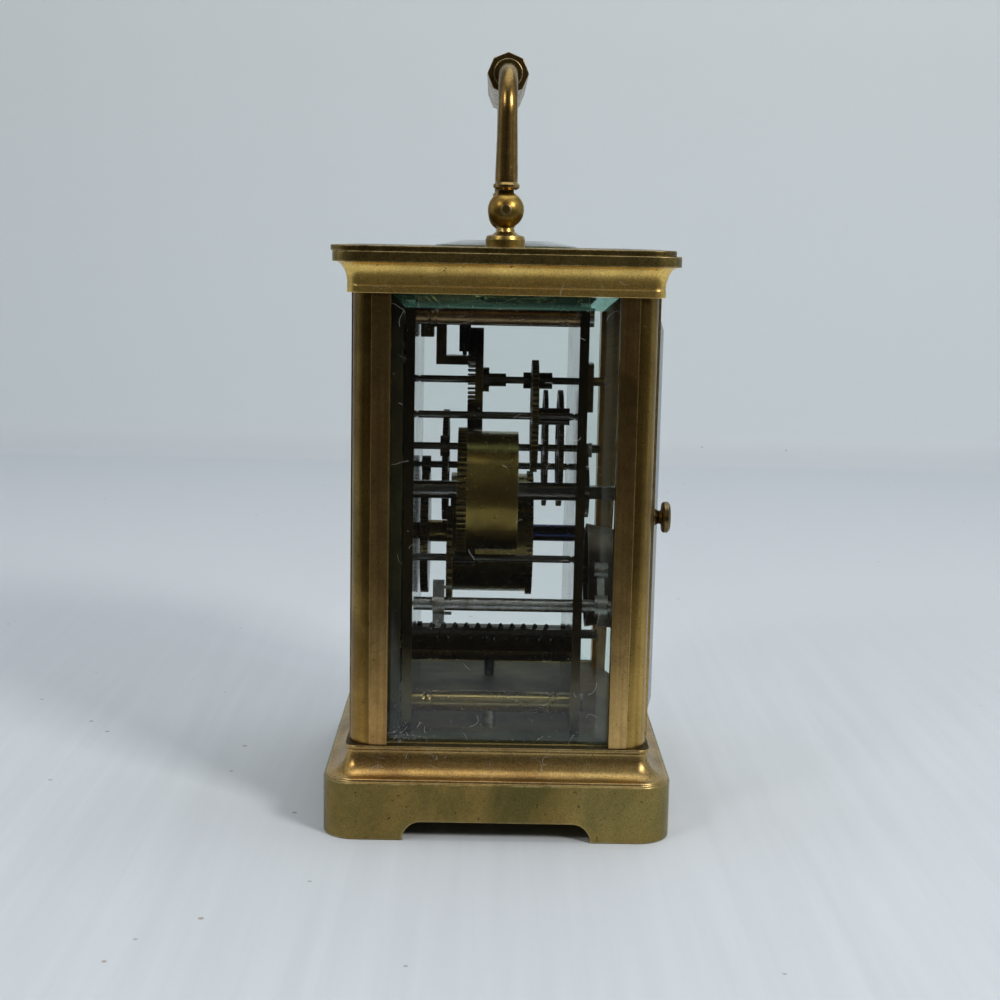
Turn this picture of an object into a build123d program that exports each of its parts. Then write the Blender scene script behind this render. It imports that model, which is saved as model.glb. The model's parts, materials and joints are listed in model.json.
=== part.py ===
from build123d import *
import math
import os

# A carriage alarm clock in a glazed brass case, in millimetres.
# X runs across the clock, Y from the dial (negative) to the rear door, Z up,
# and the origin is the middle of the base's footprint on the table.

# Case
base_depth = 82.0
extra_width = 14.4            # the case is this much wider than it is deep
base_corner = 8.0
plinth_height = 13.7
base_height = 21.2
base_step = 0.7               # ledge between the plinth and the cove
deck_inset = 5.0              # the top of the base inside its footprint
deck_fillet = 1.0
deck_overhang = 0.5           # of that fillet over the throat of the cove
foot_width = 19.0             # bracket feet, on each side of each corner
foot_curve = 4.4              # the quarter curve between a foot and the arch
base_wall = 3.2
base_top = 10.0               # solid brass over the hollow of the base
case_screw_radius = 1.4       # up into the pillars, and down from the cornice
case_screw_bite = 12.0
case_head_radius = 2.7
case_head_height = 1.6

frame_depth = 70.5            # over the faces of the four case pillars
pillar_width = 9.2
pillar_flat = 4.3             # plain strip beside the glass
pillar_step = 0.35            # the rounded corner is set back by this much
window_height = 105.5         # from the base to the cornice

cornice_depth = 78.9
cornice_cove = 3.35           # its foot stands this far inside its lip
cornice_height = 9.3
cornice_corner = 6.2
cornice_foot = 1.7
cornice_lip = 2.4
cornice_step = 0.45           # ledge between its cove and its lip
cornice_foot_step = 0.1       # ledge between its foot and its cove
cornice_ring = 10.0           # the ring of brass that lies on the pillars

plate_inset = 0.4             # the loose plate on top, inside the lip of the cornice
plate_thickness = 1.3
plate_shift = -0.8
plate_corner = 6.0

# Bevelled glass
glass_edge = 1.1              # thickness left at the edge
glass_thickness = 2.2
bevel_width = 4.2
glass_setback = 1.2           # from the pillar faces to the glass
glass_tuck = 1.0              # how far the edge sits in its groove
groove_room = 0.15            # round the edge of a glass in its groove
oval_length = 50.0
oval_depth = 35.2
oval_bevel = 6.4
oval_rise = 1.6               # over the top plate
oval_lip = 0.5
oval_lip_width = 1.0
oval_edge = 0.4              # upright edge of the oval glass over the plate

# Rear door
door_thickness = 3.2
door_stile = 4.4
door_gap = 0.24
door_lift = 0.3
door_proud = 0.75             # behind the faces of the case pillars
door_glass_proud = 1.5
door_glass_edge = 1.2
door_lip = 1.0                # of brass in front of the edge of the pane
door_rebate = 1.2
hinge_pin_radius = 0.8
hinge_pin_tail = 1.6          # length in the base and in the cornice
hinge_pin_seat = 4.0          # length in the door
knob_height = 74.8
knob_radius = 3.7
knob_stem_radius = 2.3
knob_reach = 3.9
knob_shank_radius = 1.0
knob_nut_radius = 2.1

# Carrying handle
handle_spread = 38.0          # from the middle to each post
handle_shift = -0.5
post_foot_radius = 4.5
post_foot_height = 2.6
post_shank_radius = 1.5
post_shank = 6.0              # screwed into the cornice
ball_radius = 4.3
ball_over_plate = 8.4
slot_width = 2.6
tongue_width = 2.2
tongue_radius = 3.3
handle_pin_radius = 1.0
collar_radius = 3.0
collar_low = 4.5              # above the middle of the ball
arm_radius = 2.2
arm_root = 2.55                # its radius over the collar
arm_bend = 10.0
grip_over_ball = 31.1
grip_radius = 4.8             # over the corners of the octagon
grip_end_gap = 0.05
grip_boss = 0.6               # round boss at each end of the octagon
grip_tenon = 5.0
grip_tenon_radius = 1.3
grip_ring_place = 13.0
grip_groove = 0.45

# Movement frame
front_plate_back = -20.8
front_plate_thickness = 2.3
back_plate_front = 17.3
back_plate_thickness = 2.2
movement_half_width = 32.0
movement_top = 124.0
frame_pillar_top = (27.0, 121.3, 2.0)
frame_pillar_bottom = (25.0, 27.5, 2.5)
frame_groove_places = (3.0, 4.6)
frame_bar_x = (-13.0, -9.5)    # a flat bar between the plates, low down
frame_bar_z = (31.5, 38.0)
pillar_screw_radius = 1.1
pillar_screw_bite = 4.5
seat_screw_y = -2.0           # the screws that hold the movement to the base

# Where the arbors stand, as (across, up)
going_at = (-16.0, 62.3)
intermediate_at = (-15.0, 80.2)
centre_at = (0.0, 87.0)
third_at = (13.0, 96.4)
contrate_at = (0.0, 104.0)
alarm_at = (16.0, 78.3)
alarm_pinion_at = (17.5, 61.7)
hammer_at = (29.0, 52.6)
alarm_hand_at = (0.0, 38.8)
minute_wheel_drop = 9.0       # the minute wheel stands this far below the centre
bell_at = (8.0, 56.0)

# Tooth counts
great_teeth = 80
intermediate_leaves = 10
intermediate_teeth = 72
centre_leaves = 12
centre_teeth = 64
third_leaves = 8
third_teeth = 60
contrate_leaves = 8
contrate_teeth = 70
escape_leaves = 7
escape_teeth = 15
alarm_great_teeth = 64
alarm_leaves = 8
alarm_teeth = 40
cannon_leaves = 12
minute_teeth = 36
minute_leaves = 10
hour_teeth = 40
ratchet_teeth = 24

# Common fits and wheel sizes
click_arm = 7.0
click_gap = 0.12
stud_radius = 0.9
ratchet_depth = 0.9
ribbon = 0.35
mainspring_turns = 8
cap_thickness = 1.1
minute_stud_radius = 0.7
set_square = 2.0
running = 0.05                # radial clearance of a pivot or a pipe
clear = 0.3                   # between pieces that must not touch
pivot_radius = 0.6
arbor_radius = 0.9
barrel_wall = 1.0
barrel_arbor_radius = 2.2
barrel_core_radius = 4.0
square_side = 3.0
square_end = 26.5             # winding squares end here, behind the back plate
ratchet_radius = 6.2
ratchet_thickness = 1.2

# Places along Y, from the dial to the back
going_wheel_y = (-20.3, -18.3)
going_drum_y = (-12.7, 8.4)
going_drum_radius = 15.6
going_ring_y = (6.8, 8.4)      # the toothed ring round the rear end of the drum
going_hub_radius = 2.9
alarm_wheel_y = (-10.7, -8.4)
alarm_drum_y = (-8.4, 3.8)
alarm_drum_radius = 14.5
intermediate_wheel_y = (-15.0, -13.5)
centre_wheel_y = (13.8, 15.0)
centre_second_y = (10.2, 11.2)  # a second, thinner wheel on the same leaves
third_wheel_y = (6.8, 8.4)
third_pinion_y = (8.6, 16.2)
contrate_pinion_y = (5.0, 12.2)
contrate_rim_y = (-8.7, -6.0)
alarm_pinion_y = (-11.2, -6.2)
verge_wheel_y = (-13.0, -11.6)
verge_wheel_radius = 12.7
verge_lever_y = (-16.0, -13.3)
verge_gap = 1.3               # between the lever's pins and the wheel, middle to tip
verge_pin_places = (-3.6, 4.4)
potence_y = (-16.7, -14.2)
cock_y = (21.0, 22.4)
hammer_y = (22.6, 25.2)
alarm_hand_y = (-30.1, -29.8)

# Contrate wheel and platform
contrate_radius = 13.0
contrate_tooth_height = 1.8
contrate_tooth_length = 1.1
contrate_space_share = 0.66
contrate_web = 1.0
contrate_hub_radius = 3.1
contrate_hub_length = 1.5
contrate_sleeve_radius = 1.65
contrate_sleeve_length = 5.7
platform_bottom = 118.5
platform_thickness = 1.6
platform_half_width = 17.0
platform_screw_x = (-14.0, 14.0)
platform_screw_radius = 0.7
platform_screw_bite = 4.0
potence_foot = 107.8
potence_half_width = 2.2
potence_seat_half_width = 4.0
potence_seat_depth = 3.8      # of its seat under the platform, in front of its arm
potence_seat_thickness = 1.3
potence_heel_height = 3.8      # of the block at the end of its seat
potence_heel_gap = 0.6         # between that block and the arm
potence_arm_thickness = 2.2
potence_arm_past = 1.5        # beyond the escape wheel's arbor
cock_half_width = 3.2
cock_drop = 7.5               # below the contrate arbor
cock_rise = 4.6               # above it
cock_seat_height = 3.9
cock_boss_radius = 1.1
cock_boss_length = 2.8
jewel_radius = 0.35
escape_y = -9.7
escape_radius = 3.6
escape_arbor_radius = 0.55
escape_wheel_z = (121.0, 121.4)
bridge_z = (122.1, 122.9)
bridge_half = 7.5
stone_length = 1.35
escape_pinion_z = (111.0, 118.0)
lever_y = -4.8
balance_y = 2.0
balance_radius = 8.0
balance_rim = 1.1
balance_screws = 10
balance_z = (123.3, 124.1)
impulse_radius = 1.2
impulse_pin = 0.2
cock_bottom = 125.2
cock_thickness = 1.2
hairspring_radius = 1.5
hairspring_pitch = 0.62
hairspring_turns = 5
hairspring_wire = 0.09
hairspring_z = 124.65

# Dial, hands and motion work
dial_face = -28.3
dial_thickness = 1.0
dial_radius = 25.8
alarm_dial_radius = 9.9
mask_front = -29.4
mask_thickness = 1.0
mask_side = 1.0                # its sides are turned back to the front plate
hand_thickness = 0.3
cannon_y = (-25.2, -23.6)
hour_wheel_y = (-26.8, -25.4)
cannon_front = -31.0
hour_pipe_front = -30.1
centre_front = -31.2
hour_at_rest = 305.0          # degrees past twelve, at ten past ten
minute_at_rest = 60.0
alarm_at_rest = 205.0
hour_hand_length = 16.0
hour_hand_hub = 3.3
hour_hand_width = 1.5
minute_hand_length = 23.0
minute_hand_hub = 2.6
minute_hand_width = 1.2
alarm_hand_length = 7.6
alarm_hand_hub = 2.0
alarm_hand_width = 0.9
cannon_pipe = 1.6
hour_pipe = 2.2

# Alarm work
set_arbor_radius = 1.2
set_arbor_end = 24.0          # behind the back plate
set_collar_radius = 2.6
set_collar_width = 1.2
set_spring_radius = 2.1
set_spring_wire = 0.38
set_spring_pitch = 2.9
set_spring_turns = 11
set_spring_start = -17.6
bell_radius = 13.0
bell_depth = 8.0
bell_wall = 1.0
bell_mouth = 21.4
hammer_arbor_radius = 1.6
hammer_gap = 0.9
hammer_head = 2.1
hammer_angle = 15.0
bell_post_radius = 1.1

# Derived sizes of the case
base_width = base_depth + extra_width
frame_width = frame_depth + extra_width
cornice_bottom = base_height + window_height
cornice_top = cornice_bottom + cornice_height
plate_top = cornice_top + plate_thickness
plate_depth = cornice_depth - 2 * plate_inset
half_frame_x = frame_width / 2
half_frame_y = frame_depth / 2
window_x = half_frame_x - pillar_width
window_y = half_frame_y - pillar_width
front_plate_front = front_plate_back - front_plate_thickness
back_plate_back = back_plate_front + back_plate_thickness
ball_height = plate_top + ball_over_plate
grip_height = ball_height + grip_over_ball
pane_x = half_frame_x - glass_setback - glass_thickness
pane_y = half_frame_y - glass_setback - glass_thickness
door_outer = half_frame_y + door_proud
door_inner = door_outer - door_thickness
hinge_x = -(window_x - door_gap - door_thickness / 2)
hinge_y = door_outer - door_thickness / 2
knob_x = window_x - door_gap - door_stile / 2
ratchet_y = (back_plate_back + 0.4, back_plate_back + 0.4 + ratchet_thickness)
click_y = (ratchet_y[0] + 0.1, ratchet_y[1] - 0.1)
platform_screw_places = (
    front_plate_back - front_plate_thickness / 2,
    back_plate_front + back_plate_thickness / 2,
)


# Small shapes
def block(x, y, z):
    """A box between two corners, each axis given as (low, high)."""
    size = Box(x[1] - x[0], y[1] - y[0], z[1] - z[0])
    return Pos((x[0] + x[1]) / 2, (y[0] + y[1]) / 2, (z[0] + z[1]) / 2) * size


def rod(at, y, radius):
    """A round bar along Y through the point at = (across, up)."""
    bar = Rot(90, 0, 0) * Cylinder(radius, y[1] - y[0])
    return Pos(at[0], (y[0] + y[1]) / 2, at[1]) * bar


def post(x, y, z, radius):
    """A round bar along Z."""
    bar = Cylinder(radius, z[1] - z[0])
    return Pos(x, y, (z[0] + z[1]) / 2) * bar


def cross_pin(x, y, z, radius):
    """A round bar along X."""
    bar = Rot(0, 90, 0) * Cylinder(radius, x[1] - x[0])
    return Pos((x[0] + x[1]) / 2, y, z) * bar


def fuse(pieces):
    """One solid out of pieces that overlap."""
    return pieces[0] + pieces[1:]


def turned(points, place):
    """A piece turned on a lathe, from its half outline of (radius, height) points."""
    outline = Polyline([(r, 0, h) for r, h in points], close=True)
    return place * revolve(make_face(outline), Axis.Z)


def write(node, *pieces):
    """Writes the solids of one sub-part to its own file."""
    solids = [solid for piece in pieces for solid in piece.solids()]
    shape = solids[0] if len(solids) == 1 else Compound(children=solids)
    export_step(shape, f"parts/{node}.step")


def moulding(width, depth, corner, profile):
    """A slab whose moulded edge runs round a rectangle with rounded corners.

    profile(reach) gives the edges of the moulding from the bottom up, in the XZ
    plane, with its outermost point at X = reach.
    """

    def section(reach):
        edges = profile(reach)
        low = edges[0] @ 0
        high = edges[-1] @ 1
        shut = Polyline((high.X, 0, high.Z), (0, 0, high.Z), (0, 0, low.Z), (low.X, 0, low.Z))
        return make_face([*edges, *shut.edges()])

    side = extrude(section(width / 2), depth / 2 - corner, dir=(0, 1, 0), both=True)
    face = Rot(0, 0, 90) * extrude(section(depth / 2), width / 2 - corner, dir=(0, 1, 0), both=True)
    slab = side + [mirror(side, Plane.YZ), face, mirror(face, Plane.XZ)]
    turn = revolve(section(corner), Axis.Z)
    for sx in (-1, 1):
        for sy in (-1, 1):
            slab += Pos(sx * (width / 2 - corner), sy * (depth / 2 - corner), 0) * turn
    return slab


def biarc(start, leave, end, arrive):
    """Two arcs that leave start and reach end along the given directions."""
    span = end - start
    both = leave + arrive
    rest = 2 * (1 - leave.dot(arrive))
    along = span.dot(both)
    reach = (math.sqrt(along**2 + rest * span.dot(span)) - along) / rest
    near = start + leave * reach
    far = end - arrive * reach
    middle = (near + far) * 0.5
    return [
        TangentArc(start, middle, tangent=leave),
        TangentArc(middle, end, tangent=far - near),
    ]


def wound(point, heading, quarters, wire):
    """A wire wound along point(turn), as one tube on biarcs of a quarter turn."""
    edges = []
    for n in range(quarters):
        a, b = n / 4, (n + 1) / 4
        edges += biarc(point(a), heading(a), point(b), heading(b))
    begin = Plane(origin=point(0), z_dir=heading(0))
    return sweep(begin * Circle(wire), path=Wire(edges))


def least_gap(point, turns, wire):
    """The smallest free space between one turn of a wound wire and the others."""
    steps = [point(turns * n / 400) for n in range(401)]
    turn = 400 / turns
    return min(
        (p - q).length - 2 * wire
        for n, p in enumerate(steps)
        for q in steps[int(n + 0.75 * turn):]
    )


# Wheels
def teeth_outline(count, module, first, leaves=False):
    """The outline of a wheel or a pinion, with a tooth's middle at the angle first."""
    pitch = module * count / 2
    tip = pitch + module * (0.65 if leaves else 0.95)
    root = pitch - module * (1.25 if leaves else 1.15)
    share_root, share_tip = (0.19, 0.10) if leaves else (0.25, 0.08)
    step = 2 * math.pi / count
    points = []
    for n in range(count):
        middle = first + n * step
        for radius, share in ((root, -share_root), (tip, -share_tip), (tip, share_tip), (root, share_root)):
            angle = middle + share * step
            points.append((radius * math.cos(angle), radius * math.sin(angle)))
    return make_face(Polyline(points, close=True))


def toothed(at, y, count, module, first, leaves=False):
    """A toothed disc round the arbor at = (across, up), between two places along Y."""
    disc = extrude(teeth_outline(count, module, first, leaves), y[1] - y[0])
    return Pos(at[0], y[1], at[1]) * Rot(90, 0, 0) * disc


def crossed(disc, at, y, outer, inner, spoke):
    """Cuts the four crossings out of a wheel, which leaves its spokes."""
    ring = rod(at, y, outer) - rod(at, y, inner)
    arm = outer + 1
    across = block((at[0] - arm, at[0] + arm), y, (at[1] - spoke / 2, at[1] + spoke / 2))
    upright = block((at[0] - spoke / 2, at[0] + spoke / 2), y, (at[1] - arm, at[1] + arm))
    return disc - (ring - across - upright)


def bearing(one, other):
    """The direction from one arbor to another, as an angle."""
    return math.atan2(other[1] - one[1], other[0] - one[0])


def module_of(one, other, teeth, leaves):
    """The module that lets a wheel and its pinion meet over their arbors' distance."""
    return 2 * math.dist(one, other) / (teeth + leaves)


def wheel(at, y, count, module, towards, spoke=1.6, hub=2.6):
    """A crossed wheel with one tooth pointing at the pinion that it drives."""
    disc = toothed(at, y, count, module, bearing(at, towards))
    rim = module * count / 2 - 1.15 * module - 1.1
    disc = crossed(disc, at, y, rim, hub, spoke)
    return disc - rod(at, y, arbor_radius + 0.02)


def pinion(at, y, count, module, driver):
    """A pinion with a space between two leaves facing the wheel that drives it."""
    first = bearing(at, driver) + math.pi / count
    return toothed(at, y, count, module, first, leaves=True)


def plain_arbor(at, front=front_plate_back, back=back_plate_front, radius=arbor_radius):
    """An arbor between the plates, with a pivot in each."""
    body = rod(at, (front + 0.2, back - 0.2), radius)
    return body + rod(at, (front - 1.8, back + 1.8), pivot_radius)


# Case
def base_profile(reach):
    """The moulding of the base: plinth, ledge, hollow cove and fillet."""
    cove_low = plinth_height + base_step
    cove_high = base_height - deck_fillet
    outer = reach - base_step
    throat = reach - deck_inset - deck_overhang
    cove = EllipticalCenterArc(
        (outer, cove_high), outer - throat, cove_high - cove_low, start_angle=180, arc_size=90
    )
    return [
        Line((reach, 0, 0), (reach, 0, plinth_height)),
        Line((reach, 0, plinth_height), (outer, 0, plinth_height)),
        Line((outer, 0, plinth_height), (outer, 0, cove_low)),
        (Plane.XZ * cove).edge(),
        Line((throat, 0, cove_high), (reach - deck_inset, 0, cove_high)),
        Line((reach - deck_inset, 0, cove_high), (reach - deck_inset, 0, base_height)),
    ]


def cornice_profile(reach):
    """The moulding of the cornice: foot, hollow cove and lip."""
    foot = reach - cornice_cove
    cove_low = cornice_bottom + cornice_foot
    cove_high = cornice_top - cornice_lip
    inner = foot - cornice_foot_step
    outer = reach - cornice_step
    cove = EllipticalCenterArc(
        (outer, cove_low), outer - inner, cove_high - cove_low, start_angle=90, arc_size=90
    )
    return [
        Line((foot, 0, cornice_bottom), (foot, 0, cove_low)),
        Line((foot, 0, cove_low), (inner, 0, cove_low)),
        (Plane.XZ * cove).edge(),
        Line((outer, 0, cove_high), (reach, 0, cove_high)),
        Line((reach, 0, cove_high), (reach, 0, cornice_top)),
    ]


def arch(half, along_x):
    """The cutter for the opening between two bracket feet."""
    flat = half - foot_curve
    reach = base_width
    if along_x:
        low = block((-half, half), (-reach, reach), (-1, 0.01))
        high = block((-flat, flat), (-reach, reach), (-1, foot_curve))
        rounds = [rod((s * flat, 0), (-reach, reach), foot_curve) for s in (-1, 1)]
    else:
        low = block((-reach, reach), (-half, half), (-1, 0.01))
        high = block((-reach, reach), (-flat, flat), (-1, foot_curve))
        rounds = [cross_pin((-reach, reach), s * flat, 0, foot_curve) for s in (-1, 1)]
    return fuse([low, high, *rounds])


def glass_grooves(z):
    """The grooves over or under the front and side panes, between two heights."""
    side_low = pane_x - groove_room
    side_high = pane_x + glass_edge + groove_room
    front_low = pane_y - groove_room
    front_high = pane_y + glass_edge + groove_room
    long_y = window_y + glass_tuck + groove_room
    long_x = window_x + glass_tuck + groove_room
    return [
        block((side_low, side_high), (-long_y, long_y), z),
        block((-side_high, -side_low), (-long_y, long_y), z),
        block((-long_x, long_x), (-front_high, -front_low), z),
    ]


def corners():
    """The middles of the four case pillars."""
    x = half_frame_x - pillar_width / 2
    y = half_frame_y - pillar_width / 2
    return [(sx * x, sy * y) for sx in (-1, 1) for sy in (-1, 1)]


def make_base():
    slab = moulding(base_width, base_depth, base_corner, base_profile)
    hollow = RectangleRounded(base_width - 2 * base_wall, base_depth - 2 * base_wall, base_corner - base_wall)
    slab -= extrude(hollow, base_top)
    slab -= [arch(base_width / 2 - foot_width, True), arch(base_depth / 2 - foot_width, False)]
    slab -= glass_grooves((base_height - glass_tuck - groove_room, base_height + 1))
    slab -= [post(x, y, (0, base_height + 1), case_screw_radius + running) for x, y in corners()]
    slab -= [
        post(s * frame_pillar_bottom[0], seat_screw_y, (0, base_height + 1), case_screw_radius + running)
        for s in (-1, 1)
    ]
    pin_z = (base_height - hinge_pin_tail - 1, base_height + 1)
    pin = post(hinge_x, hinge_y, pin_z, hinge_pin_radius + running)
    write("base", slab - pin)


def make_pillars():
    """Four posts, square inside and rounded at the outer corner, behind a small step."""
    flat, step, wide = pillar_flat, pillar_step, pillar_width
    round_radius = wide - step - flat
    for side, sx in (("left", -1), ("right", 1)):
        for end, sy in (("front", -1), ("rear", 1)):

            def at(u, v):
                return (sx * (window_x + u), sy * (window_y + v), base_height)

            middle = flat + round_radius * math.sqrt(0.5)
            outline = Polyline(
                at(flat, wide - step), at(flat, wide), at(0, wide), at(0, 0),
                at(wide, 0), at(wide, flat), at(wide - step, flat),
            )
            bow = ThreePointArc(at(wide - step, flat), at(middle, middle), at(flat, wide - step))
            pillar = extrude(make_face([*outline.edges(), bow]), window_height, dir=(0, 0, 1))
            pillar -= glass_grooves((base_height - 1, cornice_bottom + 1))[:2]
            if end == "front":
                pillar -= glass_grooves((base_height - 1, cornice_bottom + 1))[2]
            x, y = sx * (half_frame_x - wide / 2), sy * (half_frame_y - wide / 2)
            low = (base_height - 1, base_height + case_screw_bite + clear)
            high = (cornice_bottom - case_screw_bite - clear, cornice_bottom + 1)
            pillar -= [post(x, y, z, case_screw_radius + running) for z in (low, high)]
            write(f"pillar_{end}_{side}", pillar)


def make_cornice():
    ring = moulding(cornice_depth + extra_width, cornice_depth, cornice_corner, cornice_profile)
    inside_x, inside_y = half_frame_x - cornice_ring, half_frame_y - cornice_ring
    ring -= block((-inside_x, inside_x), (-inside_y, inside_y), (cornice_bottom - 1, cornice_top + 1))
    ring -= glass_grooves((cornice_bottom - 1, cornice_bottom + glass_tuck + groove_room))
    for x, y in corners():
        ring -= post(x, y, (cornice_bottom - 1, cornice_top + 1), case_screw_radius + running)
        head_z = (cornice_top - case_head_height - clear, cornice_top + 1)
        ring -= post(x, y, head_z, case_head_radius + running)
    for s in (-1, 1):
        shank = (cornice_top - post_shank - 1, cornice_top + 1)
        ring -= post(s * handle_spread, handle_shift, shank, post_shank_radius + running)
    pin_z = (cornice_bottom - 1, cornice_bottom + hinge_pin_tail + 1)
    pin = post(hinge_x, hinge_y, pin_z, hinge_pin_radius + running)
    write("cornice", ring - pin)


def oval(z, trim=0.0):
    """The outline of the oval glass at a height, smaller by trim all round."""
    return Pos(0, 0, z) * Ellipse(oval_length / 2 - trim, oval_depth / 2 - trim)


def make_top():
    plate = Pos(0, plate_shift, cornice_top) * extrude(
        RectangleRounded(plate_depth + extra_width, plate_depth, plate_corner), plate_thickness
    )
    plate -= extrude(oval(cornice_top + oval_lip, -groove_room), plate_thickness)
    plate -= extrude(oval(cornice_top - 1, oval_lip_width), plate_thickness + 2)
    for s in (-1, 1):
        through = (cornice_top - 1, plate_top + 1)
        plate -= post(s * handle_spread, handle_shift, through, post_shank_radius + running)
    write("top_plate", plate)
    low = cornice_top + oval_lip + running
    rim = plate_top + oval_edge
    pane = extrude(oval(low), rim - low)
    pane += loft([oval(rim), oval(plate_top + oval_rise, oval_bevel)], ruled=True)
    write("top_glass", pane)


def bevelled_pane(wide, high):
    """A pane lying on its back, with its bevelled face up."""
    slab = extrude(Rectangle(wide, high), glass_edge)
    covered = 2 * (glass_tuck + groove_room)
    big = Pos(0, 0, glass_edge) * Rectangle(wide - covered, high - covered)
    small = Pos(0, 0, glass_thickness) * Rectangle(wide - 2 * bevel_width, high - 2 * bevel_width)
    return slab + loft([big, small], ruled=True)


def make_panes():
    high = window_height + 2 * glass_tuck
    middle = base_height + window_height / 2
    for side, s in (("left", -1), ("right", 1)):
        place = Plane(origin=(s * pane_x, 0, middle), x_dir=(0, s, 0), z_dir=(s, 0, 0))
        write(f"side_glass_{side}", place * bevelled_pane(2 * (window_y + glass_tuck), high))
    place = Plane(origin=(0, -pane_y, middle), x_dir=(1, 0, 0), z_dir=(0, -1, 0))
    write("front_glass", place * bevelled_pane(2 * (window_x + glass_tuck), high))


def make_door():
    """A brass frame hung on two pins, with a bevelled pane that stands out of it."""
    half = window_x - door_gap
    low, high = base_height + door_lift, cornice_bottom - door_lift
    open_x = half - door_stile
    open_low, open_high = low + door_stile, high - door_stile
    lip = door_outer - door_lip
    frame = block((hinge_x, half), (door_inner, door_outer), (low, high))
    frame += post(hinge_x, hinge_y, (low, high), door_thickness / 2)
    frame -= block((-open_x, open_x), (door_inner - 1, door_outer + 1), (open_low, open_high))
    rebate = door_rebate
    frame -= block(
        (-open_x - rebate, open_x + rebate), (door_inner - 1, lip), (open_low - rebate, open_high + rebate)
    )
    frame -= rod((knob_x, knob_height), (door_inner - 1, door_outer + 1), knob_shank_radius + running)
    pins = []
    for z in (
        (base_height - hinge_pin_tail, low + hinge_pin_seat),
        (high - hinge_pin_seat, cornice_bottom + hinge_pin_tail),
    ):
        frame -= post(hinge_x, hinge_y, (z[0] - 0.1, z[1] + 0.1), hinge_pin_radius + 0.02)
        pins.append(post(hinge_x, hinge_y, z, hinge_pin_radius))
    write("door_frame", frame)
    write("door_hinge_pins", *pins)

    room = groove_room
    slab_x = open_x + rebate - room
    slab_z = (open_low - rebate + room, open_high + rebate - room)
    front = lip - running
    pane = block((-slab_x, slab_x), (front - door_glass_edge, front), slab_z)
    middle = (open_low + open_high) / 2
    place = Plane(origin=(0, front, middle), x_dir=(-1, 0, 0), z_dir=(0, 1, 0))
    wide, tall = 2 * (open_x - room), open_high - open_low - 2 * room
    rise = door_outer + door_glass_proud - front
    bevel = bevel_width - glass_tuck
    edge = Rectangle(wide, tall)
    top = Pos(0, 0, rise) * Rectangle(wide - 2 * bevel, tall - 2 * bevel)
    pane += place * extrude(edge, rise / 2)
    pane += place * loft([Pos(0, 0, rise / 2) * edge, top], ruled=True)
    write("door_glass", pane)

    reach, stem, head = knob_reach, knob_stem_radius, knob_radius
    knob = turned(
        [
            (0, -door_thickness - 1.6), (knob_shank_radius, -door_thickness - 1.6),
            (knob_shank_radius, 0), (stem, 0), (stem - 0.3, 0.5), (stem - 0.8, 1.3),
            (stem - 0.5, reach - 2.1), (head - 0.3, reach - 1.9), (head, reach - 1.5),
            (head, reach - 0.6), (head - 0.5, reach - 0.1), (0, reach),
        ],
        Pos(knob_x, door_outer, knob_height) * Rot(-90, 0, 0),
    )
    nut = rod((knob_x, knob_height), (door_inner - 1.4, door_inner - running), knob_nut_radius)
    write("door_knob", knob + nut)


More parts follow.
